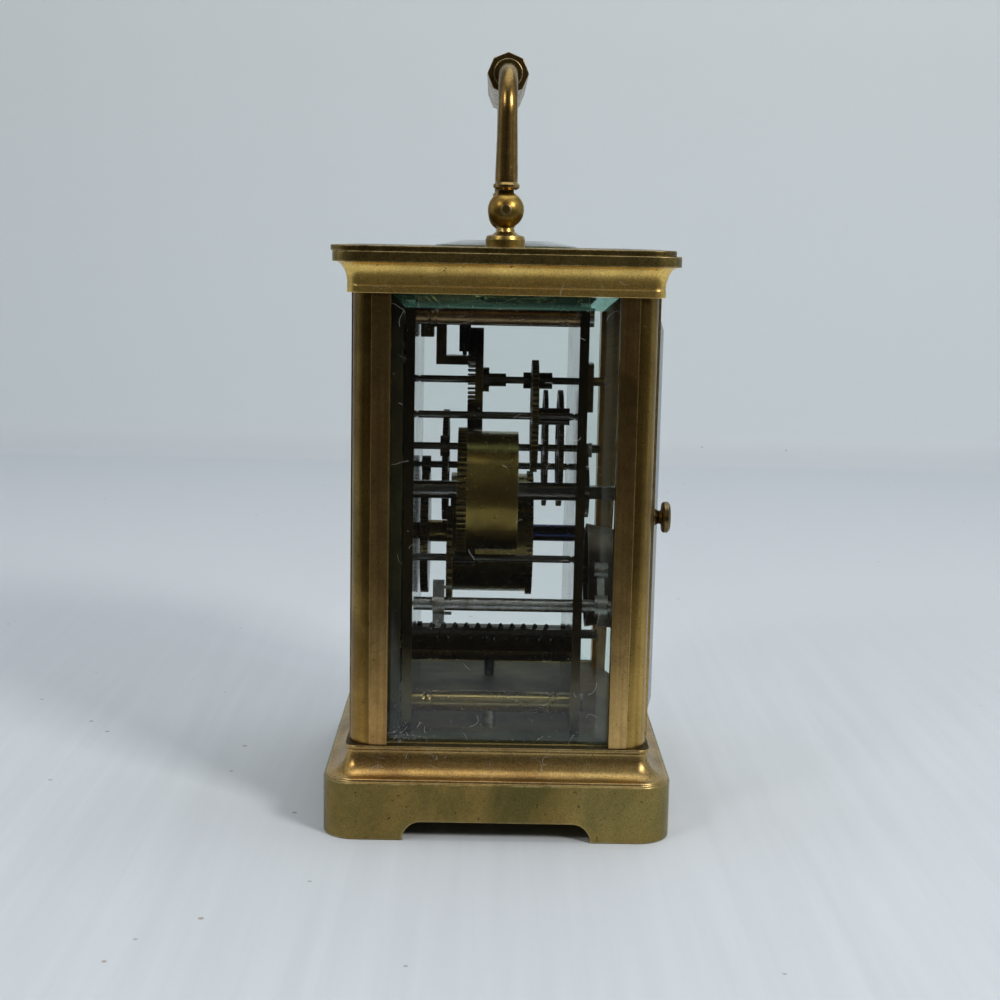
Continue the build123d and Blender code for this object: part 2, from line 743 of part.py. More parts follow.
def make_handle():
    """Two ball posts, two bent arms that turn in them, and an eight-sided grip."""
    ball, posts, pins = ball_over_plate, [], []
    foot, tall, shank = post_foot_radius, post_foot_height, post_shank_radius
    neck = ball_radius * 0.45
    for side, s in (("left", -1), ("right", 1)):
        x, y = s * handle_spread, handle_shift
        place = Pos(x, y, plate_top)
        turning = turned(
            [
                (0, -post_shank), (shank, -post_shank), (shank, 0), (foot, 0), (foot, 0.7 * tall),
                (foot - 0.3, tall), (0.66 * foot, tall + 0.3), (1.1 * neck, tall + 1),
                (neck, tall + 1.7), (neck, ball - 0.8 * ball_radius), (0, ball - 0.8 * ball_radius),
            ],
            place,
        )
        turning += Pos(x, y, ball_height) * Sphere(ball_radius)
        slot_x = (x - slot_width / 2, x + slot_width / 2)
        turning -= block(slot_x, (y - 9, y + 9), (ball_height - tongue_radius - clear, ball_height + 9))
        pin_x = (x - ball_radius + 0.1, x + ball_radius - 0.1)
        turning -= cross_pin((x - 9, x + 9), y, ball_height, handle_pin_radius + 0.02)
        posts.append(turning)
        pins.append(cross_pin(pin_x, y, ball_height, handle_pin_radius))

        tongue_x = (x - tongue_width / 2, x + tongue_width / 2)
        arm = cross_pin(tongue_x, y, ball_height, tongue_radius)
        arm += block(tongue_x, (y - 1.7, y + 1.7), (ball_height, ball_height + collar_low + 0.1))
        arm -= cross_pin((x - 9, x + 9), y, ball_height, handle_pin_radius + running)
        bead = collar_radius
        arm += turned(
            [
                (0, 0), (bead - 0.6, 0), (bead, 0.5), (bead, 1.1), (bead - 0.5, 1.6),
                (arm_root, 2.2), (arm_root, 3), (0, 3),
            ],
            Pos(x, y, ball_height + collar_low),
        )
        bottom = ball_height + collar_low + 2.9
        rise = grip_height - arm_bend
        arm += Pos(x, y, (bottom + rise) / 2) * Cone(arm_root, arm_radius, rise - bottom)
        bow = ThreePointArc(
            (x, y, rise),
            (x - s * arm_bend * (1 - math.sqrt(0.5)), y, rise + arm_bend * math.sqrt(0.5)),
            (x - s * arm_bend, y, grip_height),
        )
        arm += sweep(Plane(origin=(x, y, rise), z_dir=(0, 0, 1)) * Circle(arm_radius), path=bow)
        inner = x - s * (arm_bend + grip_tenon)
        tenon_x = tuple(sorted((inner, x - s * (arm_bend - 0.1))))
        arm += cross_pin(tenon_x, y, grip_height, grip_tenon_radius)
        write(f"handle_arm_{side}", arm)
    write("handle_posts", *posts)
    write("handle_pins", *pins)

    half = handle_spread - arm_bend - grip_end_gap

    def bar(x, radius):
        section = Plane(origin=(x[0], handle_shift, grip_height), x_dir=(0, 1, 0), z_dir=(1, 0, 0))
        return extrude(section * RegularPolygon(radius, 8), x[1] - x[0])

    grip = bar((-half + grip_boss, half - grip_boss), grip_radius)
    rings = []
    for middle in (-grip_ring_place, grip_ring_place):
        ring_x = (middle - grip_groove / 2, middle + grip_groove / 2)
        rings.append(bar(ring_x, grip_radius + 1) - bar(ring_x, grip_radius - grip_groove))
    grip -= rings
    grip += cross_pin((-half, half), handle_shift, grip_height, grip_radius * 0.68)
    for s in (-1, 1):
        hole = tuple(sorted((s * (half + 1), s * (half - grip_tenon - 1))))
        grip -= cross_pin(hole, handle_shift, grip_height, grip_tenon_radius + 0.02)
    write("handle_grip", grip)


# Movement frame
def frame_pillars():
    """The four pillars between the plates, as (across, up, radius)."""
    return [
        (s * spread, up, radius)
        for spread, up, radius in (frame_pillar_top, frame_pillar_bottom)
        for s in (-1, 1)
    ]


def make_plates():
    pivots = [intermediate_at, third_at, alarm_pinion_at]
    wide = movement_half_width
    notch_x = (-platform_half_width - 0.2, platform_half_width + 0.2)
    front_y = (front_plate_front, front_plate_back)
    back_y = (back_plate_front, back_plate_back)
    for node, y in (("front_plate", front_y), ("back_plate", back_y)):
        plate = block((-wide, wide), y, (base_height, movement_top))
        plate -= block(notch_x, (y[0] - 1, y[1] + 1), (platform_bottom, movement_top + 1))
        through = (y[0] - 1, y[1] + 1)
        holes = [(at, pivot_radius) for at in pivots]
        holes += [(at, barrel_arbor_radius) for at in (going_at, alarm_at)]
        holes += [(centre_at, arbor_radius), (alarm_hand_at, set_arbor_radius)]
        holes += [((x, z), pillar_screw_radius) for x, z, _ in frame_pillars()]
        if node == "front_plate":
            holes += [(contrate_at, pivot_radius), (hammer_at, pivot_radius)]
        else:
            holes += [(contrate_at, arbor_radius), (hammer_at, hammer_arbor_radius)]
            holes += [(click_pivot(at), stud_radius) for at in (going_at, alarm_at)]
            holes += [(bell_at, bell_post_radius)]
        plate -= [rod(at, through, radius + running) for at, radius in holes]
        middle = (y[0] + y[1]) / 2
        screw_z = (platform_bottom - platform_screw_bite - 1, movement_top)
        plate -= [post(x, middle, screw_z, platform_screw_radius + running) for x in platform_screw_x]
        if node == "front_plate":
            stud = (centre_at[0], centre_at[1] - minute_wheel_drop)
            plate += rod(stud, (hour_wheel_y[0] - 0.3, y[0] + 0.5), minute_stud_radius)
        write(node, plate)


def make_frame_pillars():
    made = []
    inner = (front_plate_back, back_plate_front)
    for x, z, radius in frame_pillars():
        pillar = rod((x, z), inner, radius)
        for end, away in ((inner[0], 1), (inner[1], -1)):
            for place in frame_groove_places:
                ring_y = (end + away * place - 0.3, end + away * place + 0.3)
                pillar -= rod((x, z), ring_y, radius + 1) - rod((x, z), ring_y, radius - 0.35)
            hole_y = tuple(sorted((end - away, end + away * (pillar_screw_bite + clear))))
            pillar -= rod((x, z), hole_y, pillar_screw_radius + running)
        if z == frame_pillar_bottom[1]:
            pillar -= post(x, seat_screw_y, (z - radius - 1, z + 0.8), case_screw_radius + running)
        made.append(pillar)
    made.append(block(frame_bar_x, inner, frame_bar_z))
    write("movement_pillars", *made)


def screw_down(x, y, top, head, shank, bite):
    """A cheese-headed screw along Z that bites from the plane at top, up or down."""
    sign = 1 if bite > 0 else -1
    head_z = tuple(sorted((top, top - sign * head[1])))
    shank_z = tuple(sorted((top - sign * head[1] / 2, top + bite)))
    return post(x, y, head_z, head[0]) + post(x, y, shank_z, shank)


def make_screws():
    made = []
    case_head = (case_head_radius, case_head_height)
    for x, y in corners():
        up = base_height - base_top + case_screw_bite
        made.append(screw_down(x, y, base_top, case_head, case_screw_radius, up))
        seat = cornice_top - case_head_height
        down = -(seat - cornice_bottom + case_screw_bite)
        made.append(screw_down(x, y, seat, case_head, case_screw_radius, down))
    for s in (-1, 1):
        up = frame_pillar_bottom[1] - base_top + 0.5
        x = s * frame_pillar_bottom[0]
        made.append(screw_down(x, seat_screw_y, base_top, case_head, case_screw_radius, up))
    plate_head = 2 * pillar_screw_radius
    for x, z, _ in frame_pillars():
        front, back = front_plate_front, back_plate_back
        bite_front = front_plate_back + pillar_screw_bite
        bite_back = back_plate_front - pillar_screw_bite
        head = rod((x, z), (front - 1.2, front), plate_head)
        made.append(head + rod((x, z), (front - 0.5, bite_front), pillar_screw_radius))
        head = rod((x, z), (back, back + 1.2), plate_head)
        made.append(head + rod((x, z), (bite_back, back + 0.5), pillar_screw_radius))
    platform_top = platform_bottom + platform_thickness
    for x in platform_screw_x:
        for y in platform_screw_places:
            head = (2 * platform_screw_radius, 0.7)
            bite = -(platform_thickness + platform_screw_bite)
            made.append(screw_down(x, y, platform_top, head, platform_screw_radius, bite))
    for at in (going_at, alarm_at):
        pivot = click_pivot(at)
        head = (click_y[1] + 0.1, click_y[1] + 0.9)
        made.append(
            rod(pivot, head, 2 * stud_radius) + rod(pivot, (back_plate_front, head[0] + 0.3), stud_radius)
        )
    write("screws", *made)


# Going train
def make_barrel(node, at, wheel_y, drum_y, radius, teeth, module, first, ring_y=None):
    """A brass drum with its great wheel, maybe a second toothed ring, and the cap of the drum."""
    bore = barrel_arbor_radius + running
    barrel = toothed(at, wheel_y, teeth, module, first) + rod(at, drum_y, radius)
    if wheel_y[1] < drum_y[0]:
        barrel += rod(at, (wheel_y[1] - 0.5, drum_y[0] + 0.5), going_hub_radius)
    if ring_y:
        barrel += toothed(at, ring_y, teeth, module, first)
    room = (drum_y[0] + 1.2, drum_y[1] + 1)
    barrel -= rod(at, room, radius - barrel_wall)
    barrel -= rod(at, (wheel_y[0] - 1, drum_y[1] + 1), bore)
    cap_y = (drum_y[1] - cap_thickness, drum_y[1])
    cap = rod(at, cap_y, radius - barrel_wall - 0.02) - rod(at, (cap_y[0] - 1, cap_y[1] + 1), bore)
    write(node, barrel, cap)


def mainspring(at, drum_y, radius):
    """The coiled ribbon inside a barrel, from the arbor's core to the drum's wall."""
    y = (drum_y[0] + 1.2 + clear, drum_y[1] - cap_thickness - clear)
    start = barrel_core_radius + clear
    end = radius - barrel_wall - clear - ribbon
    turns, per_turn = mainspring_turns, 24
    outer, inner = [], []
    for n in range(turns * per_turn + 1):
        angle = 2 * math.pi * n / per_turn
        r = start + (end - start) * n / (turns * per_turn)
        outer.append(((r + ribbon) * math.cos(angle), (r + ribbon) * math.sin(angle)))
        inner.append((r * math.cos(angle), r * math.sin(angle)))
    strip = extrude(make_face(Polyline(outer + inner[::-1], close=True)), y[1] - y[0])
    return Pos(at[0], y[1], at[1]) * Rot(90, 0, 0) * strip


def ratchet(at):
    """The ratchet wheel on a winding arbor, outside the back plate."""
    step = 2 * math.pi / ratchet_teeth
    points = []
    for n in range(ratchet_teeth):
        for radius, share in ((ratchet_radius - ratchet_depth, 0.0), (ratchet_radius, 0.06)):
            angle = (n + share) * step
            points.append((radius * math.cos(angle), radius * math.sin(angle)))
    disc = extrude(make_face(Polyline(points, close=True)), ratchet_thickness)
    disc = Pos(at[0], ratchet_y[1], at[1]) * Rot(90, 0, 0) * disc
    return disc - rod(at, (ratchet_y[0] - 1, ratchet_y[1] + 1), barrel_arbor_radius + 0.02)


def square_bar(at, y, side):
    """A square end for a key."""
    half = side / 2
    return block((at[0] - half, at[0] + half), y, (at[1] - half, at[1] + half))


def make_winding_arbor(node, at, drum_y):
    arbor = rod(at, (front_plate_front, ratchet_y[1]), barrel_arbor_radius)
    core = (drum_y[0] + 1.2 + clear, drum_y[1] - cap_thickness - clear)
    arbor += rod(at, core, barrel_core_radius)
    arbor += square_bar(at, (ratchet_y[1] - 0.2, square_end), square_side)
    write(node, arbor, ratchet(at))


def click_pivot(at):
    """Where the click of a ratchet turns, up and to the left of its wheel."""
    return (at[0] - click_arm * 0.72, at[1] + ratchet_radius + click_arm * 0.5)


def make_click(node, at):
    """The click: a small steel lever whose tip lies just off the ratchet's teeth."""
    pivot = click_pivot(at)
    tip = (at[0] + 0.2, at[1] + ratchet_radius + click_gap)
    lean = bearing(pivot, tip)
    reach = math.dist(pivot, tip)
    half = 1.1
    body = [
        (0, half), (reach * 0.75, half * 0.9), (reach, 0.35),
        (reach, 0), (reach * 0.7, -half * 0.7), (0, -half),
    ]
    spun = [
        (u * math.cos(lean) - v * math.sin(lean), u * math.sin(lean) + v * math.cos(lean)) for u, v in body
    ]
    lever = extrude(make_face(Polyline(spun, close=True)), click_y[1] - click_y[0])
    lever = Pos(pivot[0], click_y[1], pivot[1]) * Rot(90, 0, 0) * lever
    lever += rod(pivot, click_y, 1.7)
    write(node, lever - rod(pivot, (click_y[0] - 1, click_y[1] + 1), stud_radius + running))


def make_going_train():
    great = module_of(going_at, intermediate_at, great_teeth, intermediate_leaves)
    first = bearing(going_at, intermediate_at)
    drum = (going_drum_y, going_drum_radius)
    make_barrel("going_barrel", going_at, going_wheel_y, *drum, great_teeth, great, first, going_ring_y)
    make_winding_arbor("going_winding_arbor", going_at, going_drum_y)
    make_click("going_click", going_at)

    arbor = plain_arbor(intermediate_at)
    leaves_y = (going_wheel_y[0] - 0.1, going_wheel_y[1] + 0.2)
    arbor += pinion(intermediate_at, leaves_y, intermediate_leaves, great, going_at)
    write("intermediate_arbor", arbor)
    module = module_of(intermediate_at, centre_at, intermediate_teeth, centre_leaves)
    big = wheel(intermediate_at, intermediate_wheel_y, intermediate_teeth, module, centre_at)
    write("intermediate_wheel", big)

    arbor = rod(centre_at, (centre_front, square_end - 3), arbor_radius)
    leaves_y = (intermediate_wheel_y[0] - 0.4, intermediate_wheel_y[1] + 0.4)
    arbor += pinion(centre_at, leaves_y, centre_leaves, module, intermediate_at)
    arbor += square_bar(centre_at, (back_plate_back + 1, square_end - 2), set_square)
    write("centre_arbor", arbor)
    module = module_of(centre_at, third_at, centre_teeth, third_leaves)
    pair = [wheel(centre_at, y, centre_teeth, module, third_at) for y in (centre_wheel_y, centre_second_y)]
    write("centre_wheel", *pair)

    arbor = plain_arbor(third_at)
    arbor += pinion(third_at, third_pinion_y, third_leaves, module, centre_at)
    write("third_arbor", arbor)
    module = module_of(third_at, contrate_at, third_teeth, contrate_leaves)
    write("third_wheel", wheel(third_at, third_wheel_y, third_teeth, module, contrate_at))

    web_y = (contrate_rim_y[1], contrate_rim_y[1] + contrate_web)
    arbor = rod(contrate_at, (front_plate_back + 0.2, cock_y[0] - 0.2), arbor_radius)
    arbor += rod(contrate_at, (front_plate_back - 1.8, cock_y[1] + 0.3), pivot_radius)
    arbor += rod(contrate_at, (web_y[1], web_y[1] + contrate_hub_length), contrate_hub_radius)
    arbor += rod(contrate_at, (web_y[1], web_y[1] + contrate_sleeve_length), contrate_sleeve_radius)
    arbor += pinion(contrate_at, contrate_pinion_y, contrate_leaves, module, third_at)
    write("contrate_arbor", arbor)
    write("contrate_wheel", contrate_wheel(web_y))


def contrate_wheel(web_y):
    """A crossed wheel with a crown of teeth that point at the dial."""
    inner = contrate_radius - contrate_tooth_length
    ring = rod(contrate_at, contrate_rim_y, contrate_radius)
    ring -= rod(contrate_at, (contrate_rim_y[0] - 1, contrate_rim_y[1] + 1), inner)
    space = contrate_pitch() * contrate_space_share
    floor = contrate_rim_y[0] + contrate_tooth_height
    cutters = []
    for n in range(contrate_teeth):
        turn = Pos(contrate_at[0], 0, contrate_at[1]) * Rot(0, 360 * n / contrate_teeth, 0)
        slot_y = (contrate_rim_y[0] - 1, floor)
        slot = block((-space / 2, space / 2), slot_y, (inner - 1, contrate_radius + 1))
        cutters.append(turn * slot)
    ring -= cutters
    web = rod(contrate_at, web_y, contrate_radius)
    web = crossed(web, contrate_at, web_y, inner, 3.4, 1.8)
    made = ring + web
    return made - rod(contrate_at, (web_y[0] - 1, web_y[1] + 1), arbor_radius + 0.02)


def contrate_pitch():
    """The distance from one crown tooth to the next, at the middle of their length."""
    return 2 * math.pi * (contrate_radius - contrate_tooth_length / 2) / contrate_teeth


# Escapement on its platform
def make_platform():
    platform_top = platform_bottom + platform_thickness
    place = (platform_bottom, platform_top)
    plate = block((-platform_half_width, platform_half_width), (front_plate_front, back_plate_back), place)
    through = (platform_bottom - 1, platform_top + 1)
    plate -= post(0, escape_y, through, escape_arbor_radius + clear)
    plate -= [post(0, y, through, jewel_radius) for y in (lever_y, balance_y)]
    for x in platform_screw_x:
        plate -= [post(x, y, through, platform_screw_radius + running) for y in platform_screw_places]
    write("platform", plate)

    arm_x = (-potence_half_width, potence_half_width)
    seat_x = (-potence_seat_half_width, potence_seat_half_width)
    seat_y = (potence_y[0] - potence_seat_depth, potence_y[1])
    arm_y = (potence_y[0], escape_y + potence_arm_past)
    potence = block(arm_x, potence_y, (potence_foot, platform_bottom))
    potence += block(seat_x, seat_y, (platform_bottom - potence_seat_thickness, platform_bottom))
    heel_y = (seat_y[0], potence_y[0] - potence_heel_gap)
    potence += block(seat_x, heel_y, (platform_bottom - potence_heel_height, platform_bottom))
    potence += block(arm_x, arm_y, (potence_foot, potence_foot + potence_arm_thickness))
    potence -= post(0, escape_y, (potence_foot + 0.4, potence_foot + 3), jewel_radius)
    x, z = contrate_at
    cock_x = (x - cock_half_width, x + cock_half_width)
    cock = block(cock_x, cock_y, (z - cock_drop, z + cock_rise))
    seat_z = (z - cock_drop, z - cock_drop + cock_seat_height)
    cock += block(cock_x, (back_plate_back, cock_y[0] + 0.1), seat_z)
    cock += rod(contrate_at, (cock_y[1] - 0.3, cock_y[1] + cock_boss_length), cock_boss_radius)
    cock -= rod(contrate_at, (cock_y[0] - 0.3, cock_y[1] + 0.6), pivot_radius + running)
    write("contrate_cocks", potence, cock)


def make_escape_wheel():
    bottom, top = escape_pinion_z
    module = 2 * contrate_pitch() * escape_leaves / (2 * math.pi) / escape_leaves
    leaves = extrude(teeth_outline(escape_leaves, module, math.pi / 2, leaves=True), top - bottom)
    arbor = Pos(0, escape_y, bottom) * leaves
    arbor += post(0, escape_y, (potence_foot + 2.4, bridge_z[0] - 0.2), escape_arbor_radius)
    arbor += post(0, escape_y, (potence_foot + 0.5, bridge_z[1] - 0.2), jewel_radius - running)
    step = 2 * math.pi / escape_teeth
    points = []
    for n in range(escape_teeth):
        for radius, share in ((0.74, 0.0), (1.0, 0.30), (0.96, 0.42), (0.74, 0.25)):
            angle = (n + share) * step
            reach = escape_radius * radius
            points.append((reach * math.cos(angle), reach * math.sin(angle)))
    disc = Pos(0, escape_y, escape_wheel_z[0]) * extrude(
        make_face(Polyline(points, close=True)), escape_wheel_z[1] - escape_wheel_z[0]
    )
    disc -= post(0, escape_y, (escape_wheel_z[0] - 1, escape_wheel_z[1] + 1), escape_arbor_radius + 0.02)
    write("escape_wheel", arbor, disc)


def make_lever():
    """The pallet lever, with its fork towards the balance and two stones over the wheel."""
    z = escape_wheel_z
    fork_end = balance_y - impulse_radius - impulse_pin - clear / 2
    lever = block((-0.5, 0.5), (lever_y - 0.9, fork_end), z)
    lever += block((-1.0, 1.0), (fork_end - 0.9, fork_end), z)
    lever -= block((-0.35, 0.35), (fork_end - 0.6, fork_end + 1), (z[0] - 1, z[1] + 1))
    lever += block((-2.3, 2.3), (lever_y - 1.0, lever_y - 0.2), z)
    stone_y = (lever_y - stone_length, lever_y - 0.9)
    lever += [block((s * 2.0 - 0.25, s * 2.0 + 0.25), stone_y, z) for s in (-1, 1)]
    platform_top = platform_bottom + platform_thickness
    lever += post(0, lever_y, (platform_top + 0.2, bridge_z[0] - 0.2), 0.6)
    lever += post(0, lever_y, (platform_bottom + 0.6, bridge_z[1] - 0.2), jewel_radius - running)
    write("pallet_lever", lever)


def spring_point(turn):
    """A point on the hairspring's middle line, after so many turns."""
    radius = hairspring_radius + hairspring_pitch * turn
    angle = 2 * math.pi * turn
    return Vector(radius * math.cos(angle), balance_y + radius * math.sin(angle), hairspring_z)


def spring_heading(turn):
    """The direction in which the hairspring runs there."""
    radius = hairspring_radius + hairspring_pitch * turn
    angle = 2 * math.pi * turn
    grow = hairspring_pitch / (2 * math.pi)
    across = grow * math.cos(angle) - radius * math.sin(angle)
    along = grow * math.sin(angle) + radius * math.cos(angle)
    return Vector(across, along, 0).normalized()


def make_balance():
    """A brass ring on a staff, its spring over it, and the cock that holds both."""
    z = balance_z
    platform_top = platform_bottom + platform_thickness
    ring = post(0, balance_y, z, balance_radius) - post(0, balance_y, z, balance_radius - balance_rim)
    arm = balance_radius - balance_rim / 2
    wheel_part = ring + block((-arm, arm), (balance_y - 0.6, balance_y + 0.6), z)
    wheel_part += post(0, balance_y, z, 1.4)
    for n in range(balance_screws):
        turn = Pos(0, balance_y, 0) * Rot(0, 0, 360 * (n + 0.5) / balance_screws)
        head = (balance_radius - 0.2, balance_radius + 0.7)
        wheel_part += turn * cross_pin(head, 0, (z[0] + z[1]) / 2, 0.32)
    wheel_part += post(0, balance_y, (platform_top + 0.2, cock_bottom - 0.2), 0.55)
    wheel_part += post(0, balance_y, (platform_bottom + 0.6, cock_bottom + 0.8), jewel_radius - running)
    roller = (escape_wheel_z[1] + 0.3, escape_wheel_z[1] + 0.7)
    wheel_part += post(0, balance_y, roller, impulse_radius + 0.4)
    pin_z = (escape_wheel_z[0], roller[0] + 0.1)
    wheel_part += post(0, balance_y - impulse_radius, pin_z, impulse_pin)
    write("balance_wheel", wheel_part)

    spring = wound(spring_point, spring_heading, 4 * hairspring_turns, hairspring_wire)
    print("hairspring least gap", round(least_gap(spring_point, hairspring_turns, hairspring_wire), 3))
    write("hairspring", spring)

    cock_z = (cock_bottom, cock_bottom + cock_thickness)
    foot_y = (balance_y + balance_radius + 1.2, balance_y + balance_radius + 6.4)
    cock = block((-4.5, 4.5), foot_y, (platform_top, cock_z[1]))
    cock += block((-2.6, 2.6), (balance_y, foot_y[1]), cock_z)
    cock += post(0, balance_y, cock_z, 3.0)
    cock -= post(0, balance_y, (cock_z[0] - 1, cock_z[0] + 0.9), jewel_radius)
    end = spring_point(hairspring_turns)
    cock += block((2, end.X + 0.6), (balance_y, balance_y + 1.2), cock_z)
    stud_z = (hairspring_z - 0.3, cock_z[0] + 0.2)
    cock += block((end.X - 0.5, end.X + 0.5), (balance_y, balance_y + 0.9), stud_z)
    bridge = block((-bridge_half, bridge_half), (escape_y - 1.8, lever_y + 1.6), bridge_z)
    for s in (-1, 1):
        leg_x = tuple(sorted((s * bridge_half, s * (bridge_half - 1.3))))
        bridge += block(leg_x, (escape_y - 1.8, lever_y + 1.6), (platform_top, bridge_z[0] + 0.1))
    bridge -= [post(0, y, (bridge_z[0] - 1, bridge_z[1] + 1), jewel_radius) for y in (escape_y, lever_y)]
    write("balance_cock", cock, bridge)


# Dial, hands and motion work
def make_dial():
    face_y = (dial_face, dial_face + dial_thickness)
    low = alarm_hand_at[1] - alarm_dial_radius - 2
    high = centre_at[1] + dial_radius + 2
    half = dial_radius + 2
    dial = block((-half, half), face_y, (low, high))
    dial -= rod(centre_at, (face_y[0] - 1, face_y[1] + 1), hour_pipe + 2 * running)
    dial -= rod(alarm_hand_at, (face_y[0] - 1, face_y[1] + 1), set_arbor_radius + 2 * running)
    for x in (-half + 4, half - 4):
        for z in (low + 4, high - 4):
            dial += rod((x, z), (face_y[1] - 0.2, front_plate_front), 1.0)
    write("dial", dial)
    mask_y = (mask_front, mask_front + mask_thickness)
    edge = window_x - clear
    mask = block((-edge, edge), mask_y, (base_height, cornice_bottom))
    side_y = (mask_y[0], front_plate_front - clear)
    for side_x in ((-edge, mask_side - edge), (edge - mask_side, edge)):
        mask += block(side_x, side_y, (base_height, cornice_bottom))
    through = (mask_y[0] - 1, mask_y[1] + 1)
    mask -= [rod(centre_at, through, dial_radius), rod(alarm_hand_at, through, alarm_dial_radius)]
    write("dial_mask", mask)


def make_hand(node, at, y, angle, bore, length, hub, wide):
    """A flat blued hand with a swelling before its point, angle in degrees past twelve."""
    side = [(0, 0.5), (0.5 * length, 0.42), (0.62 * length, 1.35), (0.74 * length, 0.3)]
    upper = [(along, share * wide) for along, share in side[::-1]]
    lower = [(along, -share * wide) for along, share in side]
    blade = extrude(make_face(Polyline(lower + [(length, 0)] + upper, close=True)), y[1] - y[0])
    turn = Pos(at[0], y[1], at[1]) * Rot(90, 0, 0) * Rot(0, 0, 90 - angle)
    hand = turn * blade + rod(at, y, hub)
    write(node, hand - rod(at, (y[0] - 1, y[1] + 1), bore))


def make_motion_work():
    stud = (centre_at[0], centre_at[1] - minute_wheel_drop)
    bore = arbor_radius + running
    module = module_of(centre_at, stud, cannon_leaves, minute_teeth)
    cannon = toothed(centre_at, cannon_y, cannon_leaves, module, bearing(centre_at, stud), leaves=True)
    cannon += rod(centre_at, (cannon_front, cannon_y[1]), cannon_pipe)
    write("cannon_pinion", cannon - rod(centre_at, (cannon_front - 1, cannon_y[1] + 1), bore))

    first = bearing(stud, centre_at)
    minute = toothed(stud, cannon_y, minute_teeth, module, first + math.pi / minute_teeth)
    slow = module_of(stud, centre_at, minute_leaves, hour_teeth)
    leaves_y = (hour_wheel_y[0] - 0.1, cannon_y[0] + 0.1)
    minute += toothed(stud, leaves_y, minute_leaves, slow, first, leaves=True)
    bore_y = (leaves_y[0] - 1, cannon_y[1] + 1)
    write("minute_wheel", minute - rod(stud, bore_y, minute_stud_radius + running))

    first = bearing(centre_at, stud) + math.pi / hour_teeth
    hour = toothed(centre_at, hour_wheel_y, hour_teeth, slow, first)
    hour += rod(centre_at, (hour_pipe_front, hour_wheel_y[1]), hour_pipe)
    bore_y = (hour_pipe_front - 1, hour_wheel_y[1] + 1)
    write("hour_wheel", hour - rod(centre_at, bore_y, cannon_pipe + running))

    hour_y = (hour_pipe_front + 0.1, hour_pipe_front + 0.1 + hand_thickness)
    minute_y = (cannon_front + 0.1, cannon_front + 0.1 + hand_thickness)
    hour_size = (hour_hand_length, hour_hand_hub, hour_hand_width)
    make_hand("hour_hand", centre_at, hour_y, hour_at_rest, hour_pipe + 0.02, *hour_size)
    minute_size = (minute_hand_length, minute_hand_hub, minute_hand_width)
    make_hand("minute_hand", centre_at, minute_y, minute_at_rest, cannon_pipe + 0.02, *minute_size)
    alarm_y = (alarm_hand_y[0], alarm_hand_y[0] + hand_thickness)
    alarm_size = (alarm_hand_length, alarm_hand_hub, alarm_hand_width)
    make_hand("alarm_hand", alarm_hand_at, alarm_y, alarm_at_rest, set_arbor_radius + 0.02, *alarm_size)


# Alarm work
def coil_point(turn):
    """A point on the middle line of the spring round the alarm setting arbor."""
    angle = 2 * math.pi * turn
    return Vector(
        alarm_hand_at[0] + set_spring_radius * math.cos(angle),
        set_spring_start + set_spring_pitch * turn,
        alarm_hand_at[1] + set_spring_radius * math.sin(angle),
    )


def coil_heading(turn):
    """The direction in which that spring runs there."""
    angle = 2 * math.pi * turn
    around = 2 * math.pi * set_spring_radius
    return Vector(-around * math.sin(angle), set_spring_pitch, around * math.cos(angle)).normalized()


def make_alarm_setting():
    """The arbor that carries the alarm hand, with its square behind and a spring round it."""
    at = alarm_hand_at
    arbor = rod(at, (alarm_hand_y[0] - 0.1, set_arbor_end), set_arbor_radius)
    arbor += square_bar(at, (set_arbor_end - 2.7, set_arbor_end + 1.1), set_square)
    for face, away in ((front_plate_back, 1), (back_plate_front, -1)):
        collar_y = sorted((face + away * 0.2, face + away * (0.2 + set_collar_width)))
        arbor += rod(at, collar_y, set_collar_radius)
    write("alarm_set_arbor", arbor)
    spring = wound(coil_point, coil_heading, 4 * set_spring_turns, set_spring_wire)
    print("alarm spring least gap", round(least_gap(coil_point, set_spring_turns, set_spring_wire), 3))
    write("alarm_set_spring", spring)


def make_alarm_train():
    module = module_of(alarm_at, alarm_pinion_at, alarm_great_teeth, alarm_leaves)
    first = bearing(alarm_at, alarm_pinion_at)
    drum = (alarm_drum_y, alarm_drum_radius)
    make_barrel("alarm_barrel", alarm_at, alarm_wheel_y, *drum, alarm_great_teeth, module, first)
    make_winding_arbor("alarm_winding_arbor", alarm_at, alarm_drum_y)
    make_click("alarm_click", alarm_at)
    write(
        "mainsprings",
        mainspring(going_at, going_drum_y, going_drum_radius),
        mainspring(alarm_at, alarm_drum_y, alarm_drum_radius),
    )
    arbor = plain_arbor(alarm_pinion_at)
    arbor += pinion(alarm_pinion_at, alarm_pinion_y, alarm_leaves, module, alarm_at)
    write("alarm_arbor", arbor)
    verge = 2 * verge_wheel_radius / (alarm_teeth + 2)
    write("alarm_wheel", wheel(alarm_pinion_at, verge_wheel_y, alarm_teeth, verge, hammer_at))


